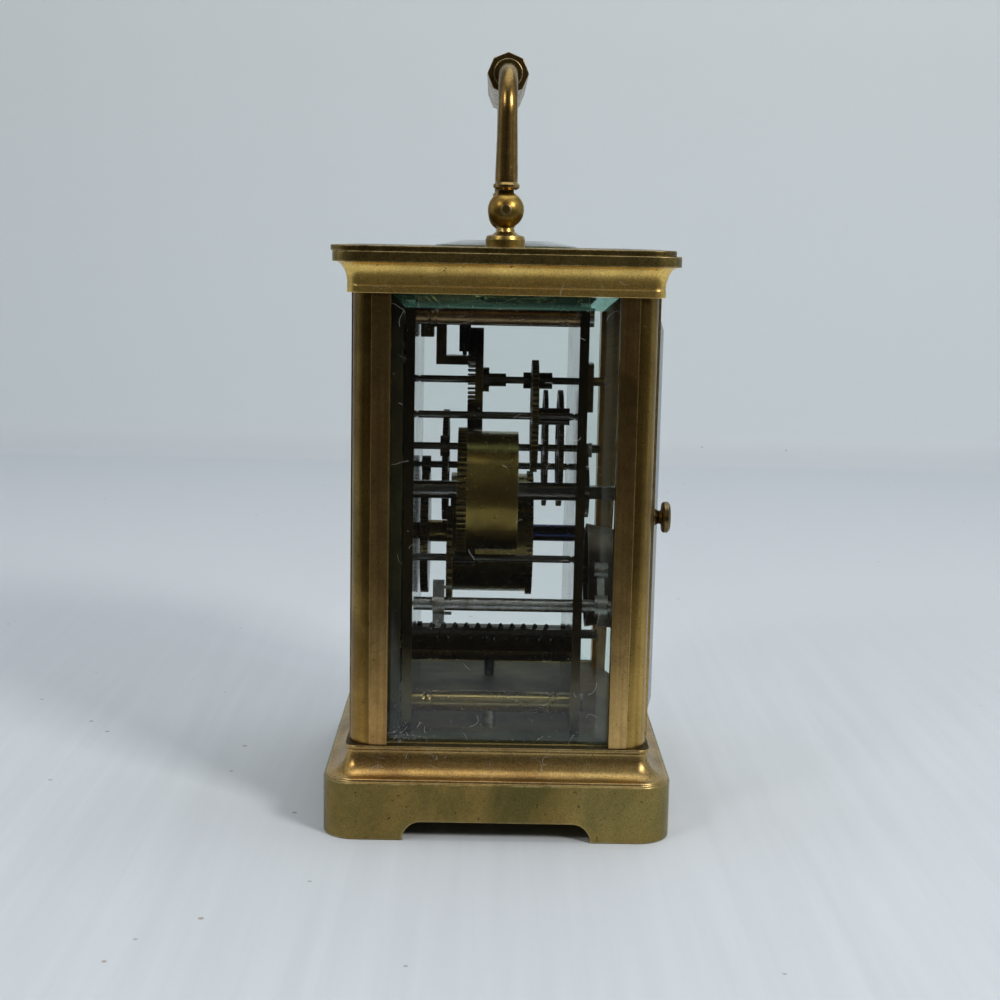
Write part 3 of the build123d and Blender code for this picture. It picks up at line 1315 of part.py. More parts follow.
def make_hammer():
    """The hammer's arbor, with its pallet lever in front and the hammer behind."""
    x, z = hammer_at
    arbor = rod(hammer_at, (front_plate_back + 0.2, hammer_y[1] + 0.6), hammer_arbor_radius)
    arbor += rod(hammer_at, (front_plate_back - 1.8, back_plate_front), pivot_radius)
    lever_x = (x - 1.3, x + 1.3)
    lever = block(lever_x, verge_lever_y, (z - 4.6, z + 5.6))
    lever += rod(hammer_at, verge_lever_y, hammer_arbor_radius + 1)
    away = verge_wheel_radius + verge_gap
    centre_x, centre_z = alarm_pinion_at
    for reach in verge_pin_places:
        pin_z = z + reach
        pin_x = centre_x + math.sqrt(away**2 - (pin_z - centre_z) ** 2)
        lever += rod((pin_x, pin_z), (verge_lever_y[1] - 1, verge_wheel_y[1]), 0.4)
        bar_x = (min(pin_x, x) - 0.6, max(pin_x, x) + 0.6)
        lever += block(bar_x, (verge_lever_y[1] - 1.2, verge_lever_y[1]), (pin_z - 0.6, pin_z + 0.6))
    lever -= rod(hammer_at, (verge_lever_y[0] - 1, verge_lever_y[1] + 1), hammer_arbor_radius + 0.02)

    strike = math.radians(hammer_angle)
    far = bell_radius + hammer_gap + hammer_head
    head_x = bell_at[0] + far * math.cos(strike)
    head_z = bell_at[1] + far * math.sin(strike)
    length = math.dist(hammer_at, (head_x, head_z))
    arm = block((0, length), (hammer_y[0] + 0.6, hammer_y[1] - 0.6), (-0.7, 0.7))
    arm = Pos(x, 0, z) * Rot(0, -math.degrees(bearing(hammer_at, (head_x, head_z))), 0) * arm
    hammer = arm + rod(hammer_at, hammer_y, hammer_arbor_radius + 1.2)
    hammer += rod((head_x, head_z), hammer_y, hammer_head)
    hammer -= rod(hammer_at, (hammer_y[0] - 1, hammer_y[1] + 1), hammer_arbor_radius + 0.02)
    write("alarm_hammer", arbor, lever, hammer)


def make_bell():
    """A turned cup, mouth towards the movement, on a post from the back plate."""
    outer, wall, deep = bell_radius, bell_wall, bell_depth
    place = Pos(bell_at[0], bell_mouth, bell_at[1]) * Rot(-90, 0, 0)
    cup = turned(
        [
            (bell_post_radius + 0.02, deep - wall), (0.55 * outer, deep - 1.15 * wall),
            (0.86 * outer, 0.62 * deep), (outer - 1.6 * wall, 0.3 * deep), (outer - wall, 0),
            (outer, 0), (outer - 0.5 * wall, 0.34 * deep), (0.92 * outer, 0.68 * deep),
            (0.6 * outer, deep - 0.1 * wall), (bell_post_radius + 0.02, deep),
        ],
        place,
    )
    nut_y = (bell_mouth + bell_depth, bell_mouth + bell_depth + 1.4)
    stem = rod(bell_at, (back_plate_front, nut_y[1]), bell_post_radius)
    stem += rod(bell_at, (back_plate_back, bell_mouth + bell_depth - bell_wall), bell_post_radius + 1)
    stem += rod(bell_at, nut_y, bell_post_radius + 1.6)
    write("bell", cup, stem)


os.makedirs("parts", exist_ok=True)
make_base()
make_pillars()
make_cornice()
make_top()
make_panes()
make_door()
make_handle()
make_plates()
make_frame_pillars()
make_screws()
make_going_train()
make_platform()
make_escape_wheel()
make_lever()
make_balance()
make_dial()
make_motion_work()
make_alarm_setting()
make_alarm_train()
make_hammer()
make_bell()
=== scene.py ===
import json
import math
import random
import bmesh
import bpy
from mathutils import Matrix, Vector
from mathutils.bvhtree import BVHTree


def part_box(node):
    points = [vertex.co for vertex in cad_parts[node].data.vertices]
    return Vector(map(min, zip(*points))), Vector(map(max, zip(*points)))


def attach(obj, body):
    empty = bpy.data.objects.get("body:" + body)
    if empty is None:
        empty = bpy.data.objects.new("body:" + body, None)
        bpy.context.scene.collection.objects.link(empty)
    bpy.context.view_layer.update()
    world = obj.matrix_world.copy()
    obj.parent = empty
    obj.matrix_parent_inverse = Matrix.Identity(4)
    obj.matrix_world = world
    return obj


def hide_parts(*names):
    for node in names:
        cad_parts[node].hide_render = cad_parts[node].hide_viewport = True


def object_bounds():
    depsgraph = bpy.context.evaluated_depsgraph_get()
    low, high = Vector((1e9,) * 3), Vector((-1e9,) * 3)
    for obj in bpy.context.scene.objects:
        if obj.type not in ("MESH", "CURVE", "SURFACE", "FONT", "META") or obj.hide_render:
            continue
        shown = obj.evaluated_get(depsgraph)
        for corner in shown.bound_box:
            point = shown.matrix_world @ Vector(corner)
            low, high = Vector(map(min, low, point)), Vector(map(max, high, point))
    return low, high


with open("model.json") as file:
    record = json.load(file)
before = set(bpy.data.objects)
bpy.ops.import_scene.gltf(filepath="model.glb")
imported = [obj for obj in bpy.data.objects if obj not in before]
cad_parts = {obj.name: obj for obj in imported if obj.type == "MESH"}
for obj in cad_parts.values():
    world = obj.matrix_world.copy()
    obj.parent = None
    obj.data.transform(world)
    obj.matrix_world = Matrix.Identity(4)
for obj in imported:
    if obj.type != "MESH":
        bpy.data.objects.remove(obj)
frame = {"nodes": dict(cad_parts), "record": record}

cad_box = [list(corner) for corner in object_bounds()]
nodes = frame["nodes"]
scene = bpy.context.scene
scene.view_settings.view_transform = "Standard"

# Camera. It looks squarely at the clock's right side from the height of the
# top plate, turned a little down, from about 0.4 m.
view_yaw = math.radians(0.47)
view_pitch = math.radians(8.99)
view_roll = math.radians(1.15)
ahead = Vector((
    -math.cos(view_pitch) * math.cos(view_yaw),
    math.cos(view_pitch) * math.sin(view_yaw),
    -math.sin(view_pitch),
))
across = ahead.cross(Vector((0, 0, 1))).normalized()
upward = across.cross(ahead)
turned_across = across * math.cos(view_roll) + upward * math.sin(view_roll)
turned_upward = upward * math.cos(view_roll) - across * math.sin(view_roll)
camera = bpy.data.objects.new("camera", bpy.data.cameras.new("camera"))
camera.data.lens = 58.87
camera.data.sensor_width = 36.0
camera.data.clip_start = 0.01
camera.matrix_world = Matrix((
    (turned_across.x, turned_upward.x, -ahead.x, 0.4133),
    (turned_across.y, turned_upward.y, -ahead.y, -0.0036),
    (turned_across.z, turned_upward.z, -ahead.z, 0.1387),
    (0, 0, 0, 1),
))
scene.collection.objects.link(camera)
scene.camera = camera


# Table and wall. One white sheet lies on the table and rises behind the clock
# in a soft bend, with faint ribs and a few crumbs on it. In front of the clock
# the sheet is painted dark as the shade of the room, seen only in the glass and
# the brass; the camera sees the plain sheet there. The wall part is painted
# lighter than the table part, and lighter still higher up: painted light.
def wire_up(tree, *pairs):
    """Links pairs of sockets in a node tree."""
    for source, target in pairs:
        tree.links.new(source, target)


def node(tree, kind, **settings):
    """Adds a shader node and sets its values: inputs by name, the rest as attributes."""
    made = tree.nodes.new(kind)
    for key, value in settings.items():
        if hasattr(made, key):
            setattr(made, key, value)
        else:
            made.inputs[key.replace("_", " ")].default_value = value
    return made


def ramp(tree, low, high, start=0.0, end=1.0, soft=False):
    """A Map Range node from low..high to start..end."""
    made = node(tree, "ShaderNodeMapRange")
    if soft:
        made.interpolation_type = "SMOOTHSTEP"
    made.inputs["From Min"].default_value = low
    made.inputs["From Max"].default_value = high
    made.inputs["To Min"].default_value = start
    made.inputs["To Max"].default_value = end
    return made


def blend_of(tree, first, second, kind="MIX"):
    """A colour mix between two plain colours."""
    made = node(tree, "ShaderNodeMix", data_type="RGBA", blend_type=kind)
    made.inputs["A"].default_value = first
    made.inputs["B"].default_value = second
    return made


def fresh_material(name):
    """A material with an empty node tree and its output."""
    made = bpy.data.materials.new(name)
    made.use_nodes = True
    made.node_tree.nodes.clear()
    return made, made.node_tree, made.node_tree.nodes.new("ShaderNodeOutputMaterial")


def mesh_piece(name, points, faces):
    """A smooth object in the shared frame, from points in millimetres."""
    mesh = bpy.data.meshes.new(name)
    mesh.from_pydata([Vector(p) / 1000 for p in points], [], faces)
    mesh.validate()
    made = bpy.data.objects.new(name, mesh)
    scene.collection.objects.link(made)
    mesh.shade_smooth()
    return made


wall_x, near_edge, wall_top, half_sheet = -625.0, 1500.0, 2400.0, 2200.0
bend, bend_steps, sheet_level = 22.0, 12, -0.05
sheet_line = [(near_edge, sheet_level)]
for step in range(bend_steps + 1):
    turn = step * math.pi / (2 * bend_steps)
    sheet_line.append((wall_x + bend - bend * math.sin(turn), bend - bend * math.cos(turn) + sheet_level))
sheet_line.append((wall_x, wall_top))
sheet_points = [(x, y, z) for x, z in sheet_line for y in (-half_sheet, half_sheet)]
sheet_faces = [(2 * n, 2 * n + 1, 2 * n + 3, 2 * n + 2) for n in range(len(sheet_line) - 1)]
sheet = mesh_piece("table_and_wall", sheet_points, sheet_faces)
paper, tree, output = fresh_material("table_and_wall")
where = node(tree, "ShaderNodeTexCoord")
apart = node(tree, "ShaderNodeSeparateXYZ")
# Painted light: the same sheet is coloured lighter where it rises into the wall, and lighter again from
# 0.25 m up, for the light that falls there; on the table it stays darker.
rise = ramp(tree, 0.003, 0.024, soft=True)
high = ramp(tree, 0.25, 0.80)
mix = blend_of(tree, (0.62, 0.665, 0.715, 1), (0.775, 0.845, 0.885, 1))
top_mix = blend_of(tree, (1, 1, 1, 1), (0.93, 0.99, 1.0, 1))
# Painted shade: from 135 mm to 210 mm in front of the clock the sheet's colour is multiplied down to near
# black for every ray but the camera's, standing for the dark room's shade in reflections and through the
# glass.
front = ramp(tree, 0.135, 0.21, soft=True)
shade = blend_of(tree, (1, 1, 1, 1), (0.08, 0.068, 0.045, 1), kind="MULTIPLY")
rays = node(tree, "ShaderNodeLightPath")
bounced = node(tree, "ShaderNodeMath", operation="SUBTRACT")
bounced.inputs[0].default_value = 1.0
dark_front = node(tree, "ShaderNodeMath", operation="MULTIPLY")
long_grain = node(tree, "ShaderNodeMapping")
long_grain.inputs["Scale"].default_value = (7.0, 170.0, 7.0)
ribs = node(tree, "ShaderNodeTexNoise", Scale=1.0, Detail=3.0, Roughness=0.55, Distortion=0.35)
rib_tone = ramp(tree, 0.35, 0.65, 0.945, 1.0)
flat_part = ramp(tree, -0.30, 0.02, 0.0, 0.9, soft=True)
lie = node(tree, "ShaderNodeMath", operation="MULTIPLY")
rib_mix = node(tree, "ShaderNodeMix", data_type="RGBA", blend_type="MULTIPLY")
crumbs = node(tree, "ShaderNodeTexVoronoi", Scale=95.0)
crumb_size = ramp(tree, 0.075, 0.045)
crumb_pick = node(tree, "ShaderNodeSeparateColor")
crumb_few = ramp(tree, 0.86, 0.88)
crumb_mask = node(tree, "ShaderNodeMath", operation="MULTIPLY")
crumb_mix = blend_of(tree, (1, 1, 1, 1), (0.36, 0.34, 0.33, 1))
ribbing = node(tree, "ShaderNodeBump")
ribbing.inputs["Strength"].default_value = 0.06
ribbing.inputs["Distance"].default_value = 0.001
matte = node(tree, "ShaderNodeBsdfPrincipled")
matte.inputs["Roughness"].default_value = 0.75
matte.inputs["Specular IOR Level"].default_value = 0.25
wire_up(
    tree,
    (where.outputs["Object"], apart.inputs[0]),
    (apart.outputs["Z"], rise.inputs["Value"]),
    (apart.outputs["Z"], high.inputs["Value"]),
    (rise.outputs["Result"], mix.inputs["Factor"]),
    (mix.outputs["Result"], top_mix.inputs["A"]),
    (high.outputs["Result"], top_mix.inputs["Factor"]),
    (where.outputs["Object"], long_grain.inputs["Vector"]),
    (long_grain.outputs["Vector"], ribs.inputs["Vector"]),
    (apart.outputs["X"], flat_part.inputs["Value"]),
    (flat_part.outputs["Result"], rib_mix.inputs["Factor"]),
    (flat_part.outputs["Result"], lie.inputs[0]),
    (ribs.outputs["Fac"], lie.inputs[1]),
    (lie.outputs[0], ribbing.inputs["Height"]),
    (ribs.outputs["Fac"], rib_tone.inputs["Value"]),
    (top_mix.outputs["Result"], rib_mix.inputs["A"]),
    (rib_tone.outputs["Result"], rib_mix.inputs["B"]),
    (apart.outputs["X"], front.inputs["Value"]),
    (rays.outputs["Is Camera Ray"], bounced.inputs[1]),
    (front.outputs["Result"], dark_front.inputs[0]),
    (bounced.outputs[0], dark_front.inputs[1]),
    (dark_front.outputs[0], shade.inputs["Factor"]),
    (where.outputs["Object"], crumbs.inputs["Vector"]),
    (crumbs.outputs["Distance"], crumb_size.inputs["Value"]),
    (crumbs.outputs["Color"], crumb_pick.inputs[0]),
    (crumb_pick.outputs["Red"], crumb_few.inputs["Value"]),
    (crumb_size.outputs["Result"], crumb_mask.inputs[0]),
    (crumb_few.outputs["Result"], crumb_mask.inputs[1]),
    (crumb_mask.outputs[0], crumb_mix.inputs["Factor"]),
    (rib_mix.outputs["Result"], crumb_mix.inputs["A"]),
    (crumb_mix.outputs["Result"], shade.inputs["A"]),
    (shade.outputs["Result"], matte.inputs["Base Color"]),
    (ribbing.outputs["Normal"], matte.inputs["Normal"]),
    (matte.outputs[0], output.inputs["Surface"]),
)
sheet.data.materials.append(paper)


# Lamps. A wide soft lamp hangs overhead and two soft windows stand at the
# camera's left and right. The room behind the camera is dark.
def soft_lamp(name, place, towards, wide, high, watts, colour):
    """An area lamp in metres, aimed at a point."""
    light = bpy.data.lights.new(name, "AREA")
    light.shape = "RECTANGLE"
    light.size = wide
    light.size_y = high
    light.energy = watts
    light.color = colour
    made = bpy.data.objects.new(name, light)
    made.location = place
    made.rotation_euler = (Vector(towards) - Vector(place)).to_track_quat("-Z", "Y").to_euler()
    scene.collection.objects.link(made)


soft_lamp("overhead", (-0.10, 0.1, 1.3), (0, 0, 0.05), 0.9, 1.3, 6.0, (1.0, 0.99, 0.97))
soft_lamp("left_window", (0.75, -0.75, 0.85), (0, 0, 0.08), 0.28, 0.28, 2.6, (1.0, 0.97, 0.92))
soft_lamp("right_window", (0.74, 0.74, 0.76), (0, 0, 0.08), 0.27, 0.27, 8.0, (1.0, 0.97, 0.92))
room = bpy.data.worlds.new("room")
scene.world = room
room.use_nodes = True
tree = room.node_tree
tree.nodes.clear()
direction = node(tree, "ShaderNodeTexCoord")
apart = node(tree, "ShaderNodeSeparateXYZ")
behind = ramp(tree, -0.05, 0.65, soft=True)
room_mix = blend_of(tree, (0.62, 0.67, 0.72, 1), (0.035, 0.035, 0.035, 1))
rays = node(tree, "ShaderNodeLightPath")
seen_mix = node(tree, "ShaderNodeMix", data_type="RGBA")
seen_mix.inputs["B"].default_value = (0.55, 0.60, 0.63, 1)
background = node(tree, "ShaderNodeBackground")
background.inputs["Strength"].default_value = 0.9
world_output = node(tree, "ShaderNodeOutputWorld")
wire_up(
    tree,
    (direction.outputs["Generated"], apart.inputs[0]),
    (apart.outputs["X"], behind.inputs["Value"]),
    (behind.outputs["Result"], room_mix.inputs["Factor"]),
    (rays.outputs["Is Camera Ray"], seen_mix.inputs["Factor"]),
    (room_mix.outputs["Result"], seen_mix.inputs["A"]),
    (seen_mix.outputs["Result"], background.inputs["Color"]),
    (background.outputs[0], world_output.inputs["Surface"]),
)


# Base. One heavy brass casting: a plinth on four bracket feet, a ledge, and a
# hollow cove up to the deck that the pillars stand on. The plinth has gone
# olive, the cove is warmer, and every edge is rubbed bright in places.
def patina_group():
    """Old brass: clean metal, clouds of tarnish, streaks, fine specks, dark pits, rubbed edges, and painted
    light that brightens it near the bottom.
    """
    group = bpy.data.node_groups.new("brass_patina", "ShaderNodeTree")
    face = group.interface
    for name, kind, value in (
        ("Clean", "NodeSocketColor", (0.42, 0.29, 0.10, 1)),
        ("Tarnish", "NodeSocketColor", (0.20, 0.13, 0.05, 1)),
        ("Worn", "NodeSocketColor", (0.72, 0.52, 0.24, 1)),
        ("Cloud Size", "NodeSocketFloat", 90.0),
        ("Cover", "NodeSocketFloat", 0.5),
        ("Streak", "NodeSocketFloat", 0.2),
        ("Grain", "NodeSocketFloat", 0.3),
        ("Pits", "NodeSocketFloat", 0.5),
        ("Edge Wear", "NodeSocketFloat", 0.6),
        ("Low Glow", "NodeSocketFloat", 0.0),
        ("Gloss", "NodeSocketFloat", 0.28),
    ):
        socket = face.new_socket(name, in_out="INPUT", socket_type=kind)
        socket.default_value = value
    face.new_socket("Colour", in_out="OUTPUT", socket_type="NodeSocketColor")
    face.new_socket("Roughness", in_out="OUTPUT", socket_type="NodeSocketFloat")
    face.new_socket("Height", in_out="OUTPUT", socket_type="NodeSocketFloat")
    given = node(group, "NodeGroupInput")
    result = node(group, "NodeGroupOutput")
    place = node(group, "ShaderNodeTexCoord")

    clouds = node(group, "ShaderNodeTexNoise", Detail=7.0, Roughness=0.62, Distortion=0.4)
    patch = ramp(group, 0.38, 0.66)
    cover = node(group, "ShaderNodeMath", operation="MULTIPLY", use_clamp=True)
    base_mix = node(group, "ShaderNodeMix", data_type="RGBA")

    drawn_out = node(group, "ShaderNodeMapping")
    drawn_out.inputs["Scale"].default_value = (900.0, 900.0, 14.0)
    streaks = node(group, "ShaderNodeTexNoise", Scale=1.0, Detail=4.0, Roughness=0.6)
    streak_mask = ramp(group, 0.40, 0.68)
    streak_share = node(group, "ShaderNodeMath", operation="MULTIPLY", use_clamp=True)
    streak_mix = node(group, "ShaderNodeMix", data_type="RGBA")

    warm = node(group, "ShaderNodeTexNoise", Scale=34.0, Detail=3.0, Roughness=0.5)
    warm_tone = ramp(group, 0.42, 0.62, 0.0, 0.45)
    warm_mix = node(group, "ShaderNodeMix", data_type="RGBA", blend_type="MULTIPLY")
    warm_mix.inputs["B"].default_value = (1.0, 0.74, 0.55, 1)

    grains = node(group, "ShaderNodeTexNoise", Scale=2600.0, Detail=1.0, Roughness=0.6)
    grain_tone = ramp(group, 0.30, 0.70, -1.0, 1.0)
    grain_and_low_light = node(group, "ShaderNodeMath", operation="MULTIPLY_ADD")
    # Painted light: below 75 mm the colour is scaled up by the low-light input, for the pale table
    # reflected low on the brass. It is added into the grain's factor, so one scale carries both the grain
    # and the painted low light.
    levels = node(group, "ShaderNodeSeparateXYZ")
    low_light_ramp = ramp(group, 0.075, 0.025, soft=True)
    low_light_share = node(group, "ShaderNodeMath", operation="MULTIPLY_ADD")
    low_light_share.inputs[2].default_value = 1.0
    grain_and_low_light_mix = node(group, "ShaderNodeVectorMath", operation="SCALE")

    speck = node(group, "ShaderNodeTexNoise", Scale=900.0, Detail=2.0, Roughness=0.7)
    speck_mask = ramp(group, 0.67, 0.73)
    speck_share = node(group, "ShaderNodeMath", operation="MULTIPLY", use_clamp=True)
    pit_mix = node(group, "ShaderNodeMix", data_type="RGBA")
    pit_mix.inputs["B"].default_value = (0.035, 0.026, 0.014, 1)

    rounded = node(group, "ShaderNodeBevel", samples=4)
    rounded.inputs["Radius"].default_value = 0.0006
    true_normal = node(group, "ShaderNodeNewGeometry")
    alike = node(group, "ShaderNodeVectorMath", operation="DOT_PRODUCT")
    edge = ramp(group, 0.995, 0.90)
    rub = node(group, "ShaderNodeMath", operation="MULTIPLY")
    rub_broken = node(group, "ShaderNodeMath", operation="MULTIPLY", use_clamp=True)
    scratch = node(group, "ShaderNodeTexNoise", Scale=420.0, Detail=5.0, Roughness=0.75)
    broken = ramp(group, 0.36, 0.60)
    worn_mix = node(group, "ShaderNodeMix", data_type="RGBA")

    rough_add = node(group, "ShaderNodeMath", operation="MULTIPLY_ADD")
    rough_add.inputs[1].default_value = 0.16
    rough_pit = node(group, "ShaderNodeMath", operation="MULTIPLY_ADD")
    rough_pit.inputs[1].default_value = 0.35
    dents = node(group, "ShaderNodeTexNoise", Scale=70.0, Detail=2.0, Roughness=0.5)
    dented = node(group, "ShaderNodeMath", operation="MULTIPLY_ADD")
    dented.inputs[1].default_value = 2.5
    height = node(group, "ShaderNodeMath", operation="MULTIPLY_ADD")
    height.inputs[1].default_value = -0.8
    wire_up(
        group,
        (place.outputs["Object"], clouds.inputs["Vector"]),
        (given.outputs["Cloud Size"], clouds.inputs["Scale"]),
        (clouds.outputs["Fac"], patch.inputs["Value"]),
        (patch.outputs["Result"], cover.inputs[0]),
        (given.outputs["Cover"], cover.inputs[1]),
        (cover.outputs[0], base_mix.inputs["Factor"]),
        (given.outputs["Clean"], base_mix.inputs["A"]),
        (given.outputs["Tarnish"], base_mix.inputs["B"]),
        (place.outputs["Object"], drawn_out.inputs["Vector"]),
        (drawn_out.outputs["Vector"], streaks.inputs["Vector"]),
        (streaks.outputs["Fac"], streak_mask.inputs["Value"]),
        (streak_mask.outputs["Result"], streak_share.inputs[0]),
        (given.outputs["Streak"], streak_share.inputs[1]),
        (streak_share.outputs[0], streak_mix.inputs["Factor"]),
        (base_mix.outputs["Result"], streak_mix.inputs["A"]),
        (given.outputs["Tarnish"], streak_mix.inputs["B"]),
        (place.outputs["Object"], warm.inputs["Vector"]),
        (warm.outputs["Fac"], warm_tone.inputs["Value"]),
        (warm_tone.outputs["Result"], warm_mix.inputs["Factor"]),
        (streak_mix.outputs["Result"], warm_mix.inputs["A"]),
        (place.outputs["Object"], grains.inputs["Vector"]),
        (grains.outputs["Fac"], grain_tone.inputs["Value"]),
        (grain_tone.outputs["Result"], grain_and_low_light.inputs[0]),
        (given.outputs["Grain"], grain_and_low_light.inputs[1]),
        (place.outputs["Object"], levels.inputs[0]),
        (levels.outputs["Z"], low_light_ramp.inputs["Value"]),
        (low_light_ramp.outputs["Result"], low_light_share.inputs[0]),
        (given.outputs["Low Glow"], low_light_share.inputs[1]),
        (low_light_share.outputs[0], grain_and_low_light.inputs[2]),
        (warm_mix.outputs["Result"], grain_and_low_light_mix.inputs[0]),
        (grain_and_low_light.outputs[0], grain_and_low_light_mix.inputs["Scale"]),
        (place.outputs["Object"], speck.inputs["Vector"]),
        (speck.outputs["Fac"], speck_mask.inputs["Value"]),
        (speck_mask.outputs["Result"], speck_share.inputs[0]),
        (given.outputs["Pits"], speck_share.inputs[1]),
        (speck_share.outputs[0], pit_mix.inputs["Factor"]),
        (grain_and_low_light_mix.outputs[0], pit_mix.inputs["A"]),
        (rounded.outputs["Normal"], alike.inputs[0]),
        (true_normal.outputs["Normal"], alike.inputs[1]),
        (alike.outputs["Value"], edge.inputs["Value"]),
        (edge.outputs["Result"], rub.inputs[0]),
        (given.outputs["Edge Wear"], rub.inputs[1]),
        (scratch.outputs["Fac"], broken.inputs["Value"]),
        (rub.outputs[0], rub_broken.inputs[0]),
        (broken.outputs["Result"], rub_broken.inputs[1]),
        (rub_broken.outputs[0], worn_mix.inputs["Factor"]),
        (pit_mix.outputs["Result"], worn_mix.inputs["A"]),
        (given.outputs["Worn"], worn_mix.inputs["B"]),
        (worn_mix.outputs["Result"], result.inputs["Colour"]),
        (clouds.outputs["Fac"], rough_add.inputs[0]),
        (given.outputs["Gloss"], rough_add.inputs[2]),
        (speck_share.outputs[0], rough_pit.inputs[0]),
        (rough_add.outputs[0], rough_pit.inputs[2]),
        (rough_pit.outputs[0], result.inputs["Roughness"]),
        (place.outputs["Object"], scratch.inputs["Vector"]),
        (place.outputs["Object"], dents.inputs["Vector"]),
        (dents.outputs["Fac"], dented.inputs[0]),
        (scratch.outputs["Fac"], dented.inputs[2]),
        (speck_share.outputs[0], height.inputs[0]),
        (dented.outputs[0], height.inputs[2]),
        (height.outputs[0], result.inputs["Height"]),
    )
    return group


brass_patina = patina_group()


def brass(name, relief=0.00006, strength=0.35, **values):
    """A brass whose look comes from the patina group with these values."""
    made, tree, output = fresh_material(name)
    patina = node(tree, "ShaderNodeGroup", node_tree=brass_patina)
    for key, value in values.items():
        patina.inputs[key.replace("_", " ").title()].default_value = value
    bump = node(tree, "ShaderNodeBump")
    bump.inputs["Strength"].default_value = strength
    bump.inputs["Distance"].default_value = relief
    metal = node(tree, "ShaderNodeBsdfPrincipled")
    metal.inputs["Metallic"].default_value = 1.0
    wire_up(
        tree,
        (patina.outputs["Colour"], metal.inputs["Base Color"]),
        (patina.outputs["Roughness"], metal.inputs["Roughness"]),
        (patina.outputs["Height"], bump.inputs["Height"]),
        (bump.outputs["Normal"], metal.inputs["Normal"]),
        (metal.outputs[0], output.inputs["Surface"]),
    )
    return made


body_of = {name: body for body, names in frame["record"]["behaviour"]["bodies"].items() for name in names}


def softened(name, width, *materials, share=None):
    """Rebuilds a piece with its sharp edges rounded to a width in millimetres, or left if it is 0.

    share(face) picks one of the materials for each face.
    """
    work = bmesh.new()
    work.from_mesh(nodes[name].data)
    bmesh.ops.remove_doubles(work, verts=work.verts, dist=1e-6)
    flat, sharp = math.radians(1.0), math.radians(28)
    bmesh.ops.dissolve_limit(work, angle_limit=flat, verts=work.verts, edges=work.edges)
    if width:
        corners = [edge for edge in work.edges if edge.is_manifold and edge.calc_face_angle(0) > sharp]
        bmesh.ops.bevel(
            work, geom=corners, offset=width / 1000, segments=2, profile=0.5,
            affect="EDGES", clamp_overlap=False,
        )
    for face in work.faces:
        face.smooth = bool(width)
        face.material_index = share(face) if share else 0
    mesh = bpy.data.meshes.new(name + "_worn")
    work.to_mesh(mesh)
    work.free()
    for material in materials:
        mesh.materials.append(material)
    made = bpy.data.objects.new(name + "_worn", mesh)
    scene.collection.objects.link(made)
    steady = made.modifiers.new("steady", "WEIGHTED_NORMAL")
    steady.keep_sharp = True
    steady.weight = 80
    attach(made, body_of[name])
    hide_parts(name)


def dress(material, *names):
    """Gives CAD pieces a finish."""
    for name in names:
        mesh = nodes[name].data
        mesh.materials.clear()
        mesh.materials.append(material)


plinth_top, deck_low = 0.0138, 0.0205
plinth_brass = brass(
    "plinth_brass", cloud_size=38.0, cover=0.95, pits=0.8, edge_wear=0.9, gloss=0.27, grain=0.16,
    streak=0.0,
    clean=(0.345, 0.253, 0.083, 1), tarnish=(0.132, 0.125, 0.044, 1), worn=(0.78, 0.62, 0.30, 1),
)
cove_brass = brass(
    "cove_brass", cloud_size=70.0, cover=0.8, pits=0.7, edge_wear=0.9, gloss=0.25, grain=0.3, streak=0.0,
    clean=(0.46, 0.32, 0.115, 1), tarnish=(0.205, 0.138, 0.055, 1), worn=(0.85, 0.68, 0.38, 1),
)
# Painted shade: the deck inside the case is coloured near black for the shade it lies in, besides its
# tarnish.
deck_brass = brass(
    "deck_brass", strength=0.08, cloud_size=60.0, cover=1.0, pits=0.8, edge_wear=0.4, gloss=0.48, grain=0.3,
    streak=0.0,
    clean=(0.10, 0.075, 0.030, 1), tarnish=(0.028, 0.022, 0.012, 1), worn=(0.50, 0.38, 0.17, 1),
)


def base_share(face):
    """Plinth, cove, or the deck inside the case, painted dark as shade."""
    up = face.calc_center_median().z
    if face.normal.z > 0.9 and up > deck_low:
        return 2
    return 1 if up > plinth_top else 0


softened("base", 0.3, plinth_brass, cove_brass, deck_brass, share=base_share)

# Pillars. Four brass posts, square beside the glass and rounded at the outer
# corner behind a small step, each held by a screw from below and one from above.
# Both pillar brasses are painted lighter below 75 mm: painted light for the pale table they reflect there.
pillar_brass = brass(
    "pillar_brass", cloud_size=45.0, cover=0.9, pits=0.8, edge_wear=0.5, gloss=0.22, grain=0.15, streak=0.6,
    low_glow=0.75,
    clean=(0.285, 0.188, 0.053, 1), tarnish=(0.098, 0.060, 0.016, 1), worn=(0.60, 0.43, 0.16, 1),
)
strip_brass = brass(
    "strip_brass", cloud_size=60.0, cover=0.9, pits=0.6, edge_wear=0.4, gloss=0.24, grain=0.15, streak=0.5,
    low_glow=0.75,
    clean=(0.42, 0.275, 0.105, 1), tarnish=(0.145, 0.090, 0.033, 1), worn=(0.60, 0.42, 0.18, 1),
)


def strip_share(face):
    """The plain strip beside the glass has kept a warmer colour."""
    middle, near = face.calc_center_median(), 0.0002
    outer_x, outer_y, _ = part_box("pillar_rear_right")[1]
    on_side = abs(face.normal.x) > 0.9 and abs(middle.x) > outer_x - near
    on_end = abs(face.normal.y) > 0.9 and abs(middle.y) > outer_y - near
    return 1 if on_side or on_end else 0


for end in ("front", "rear"):
    for side in ("left", "right"):
        softened(f"pillar_{end}_{side}", 0.12, pillar_brass, strip_brass, share=strip_share)

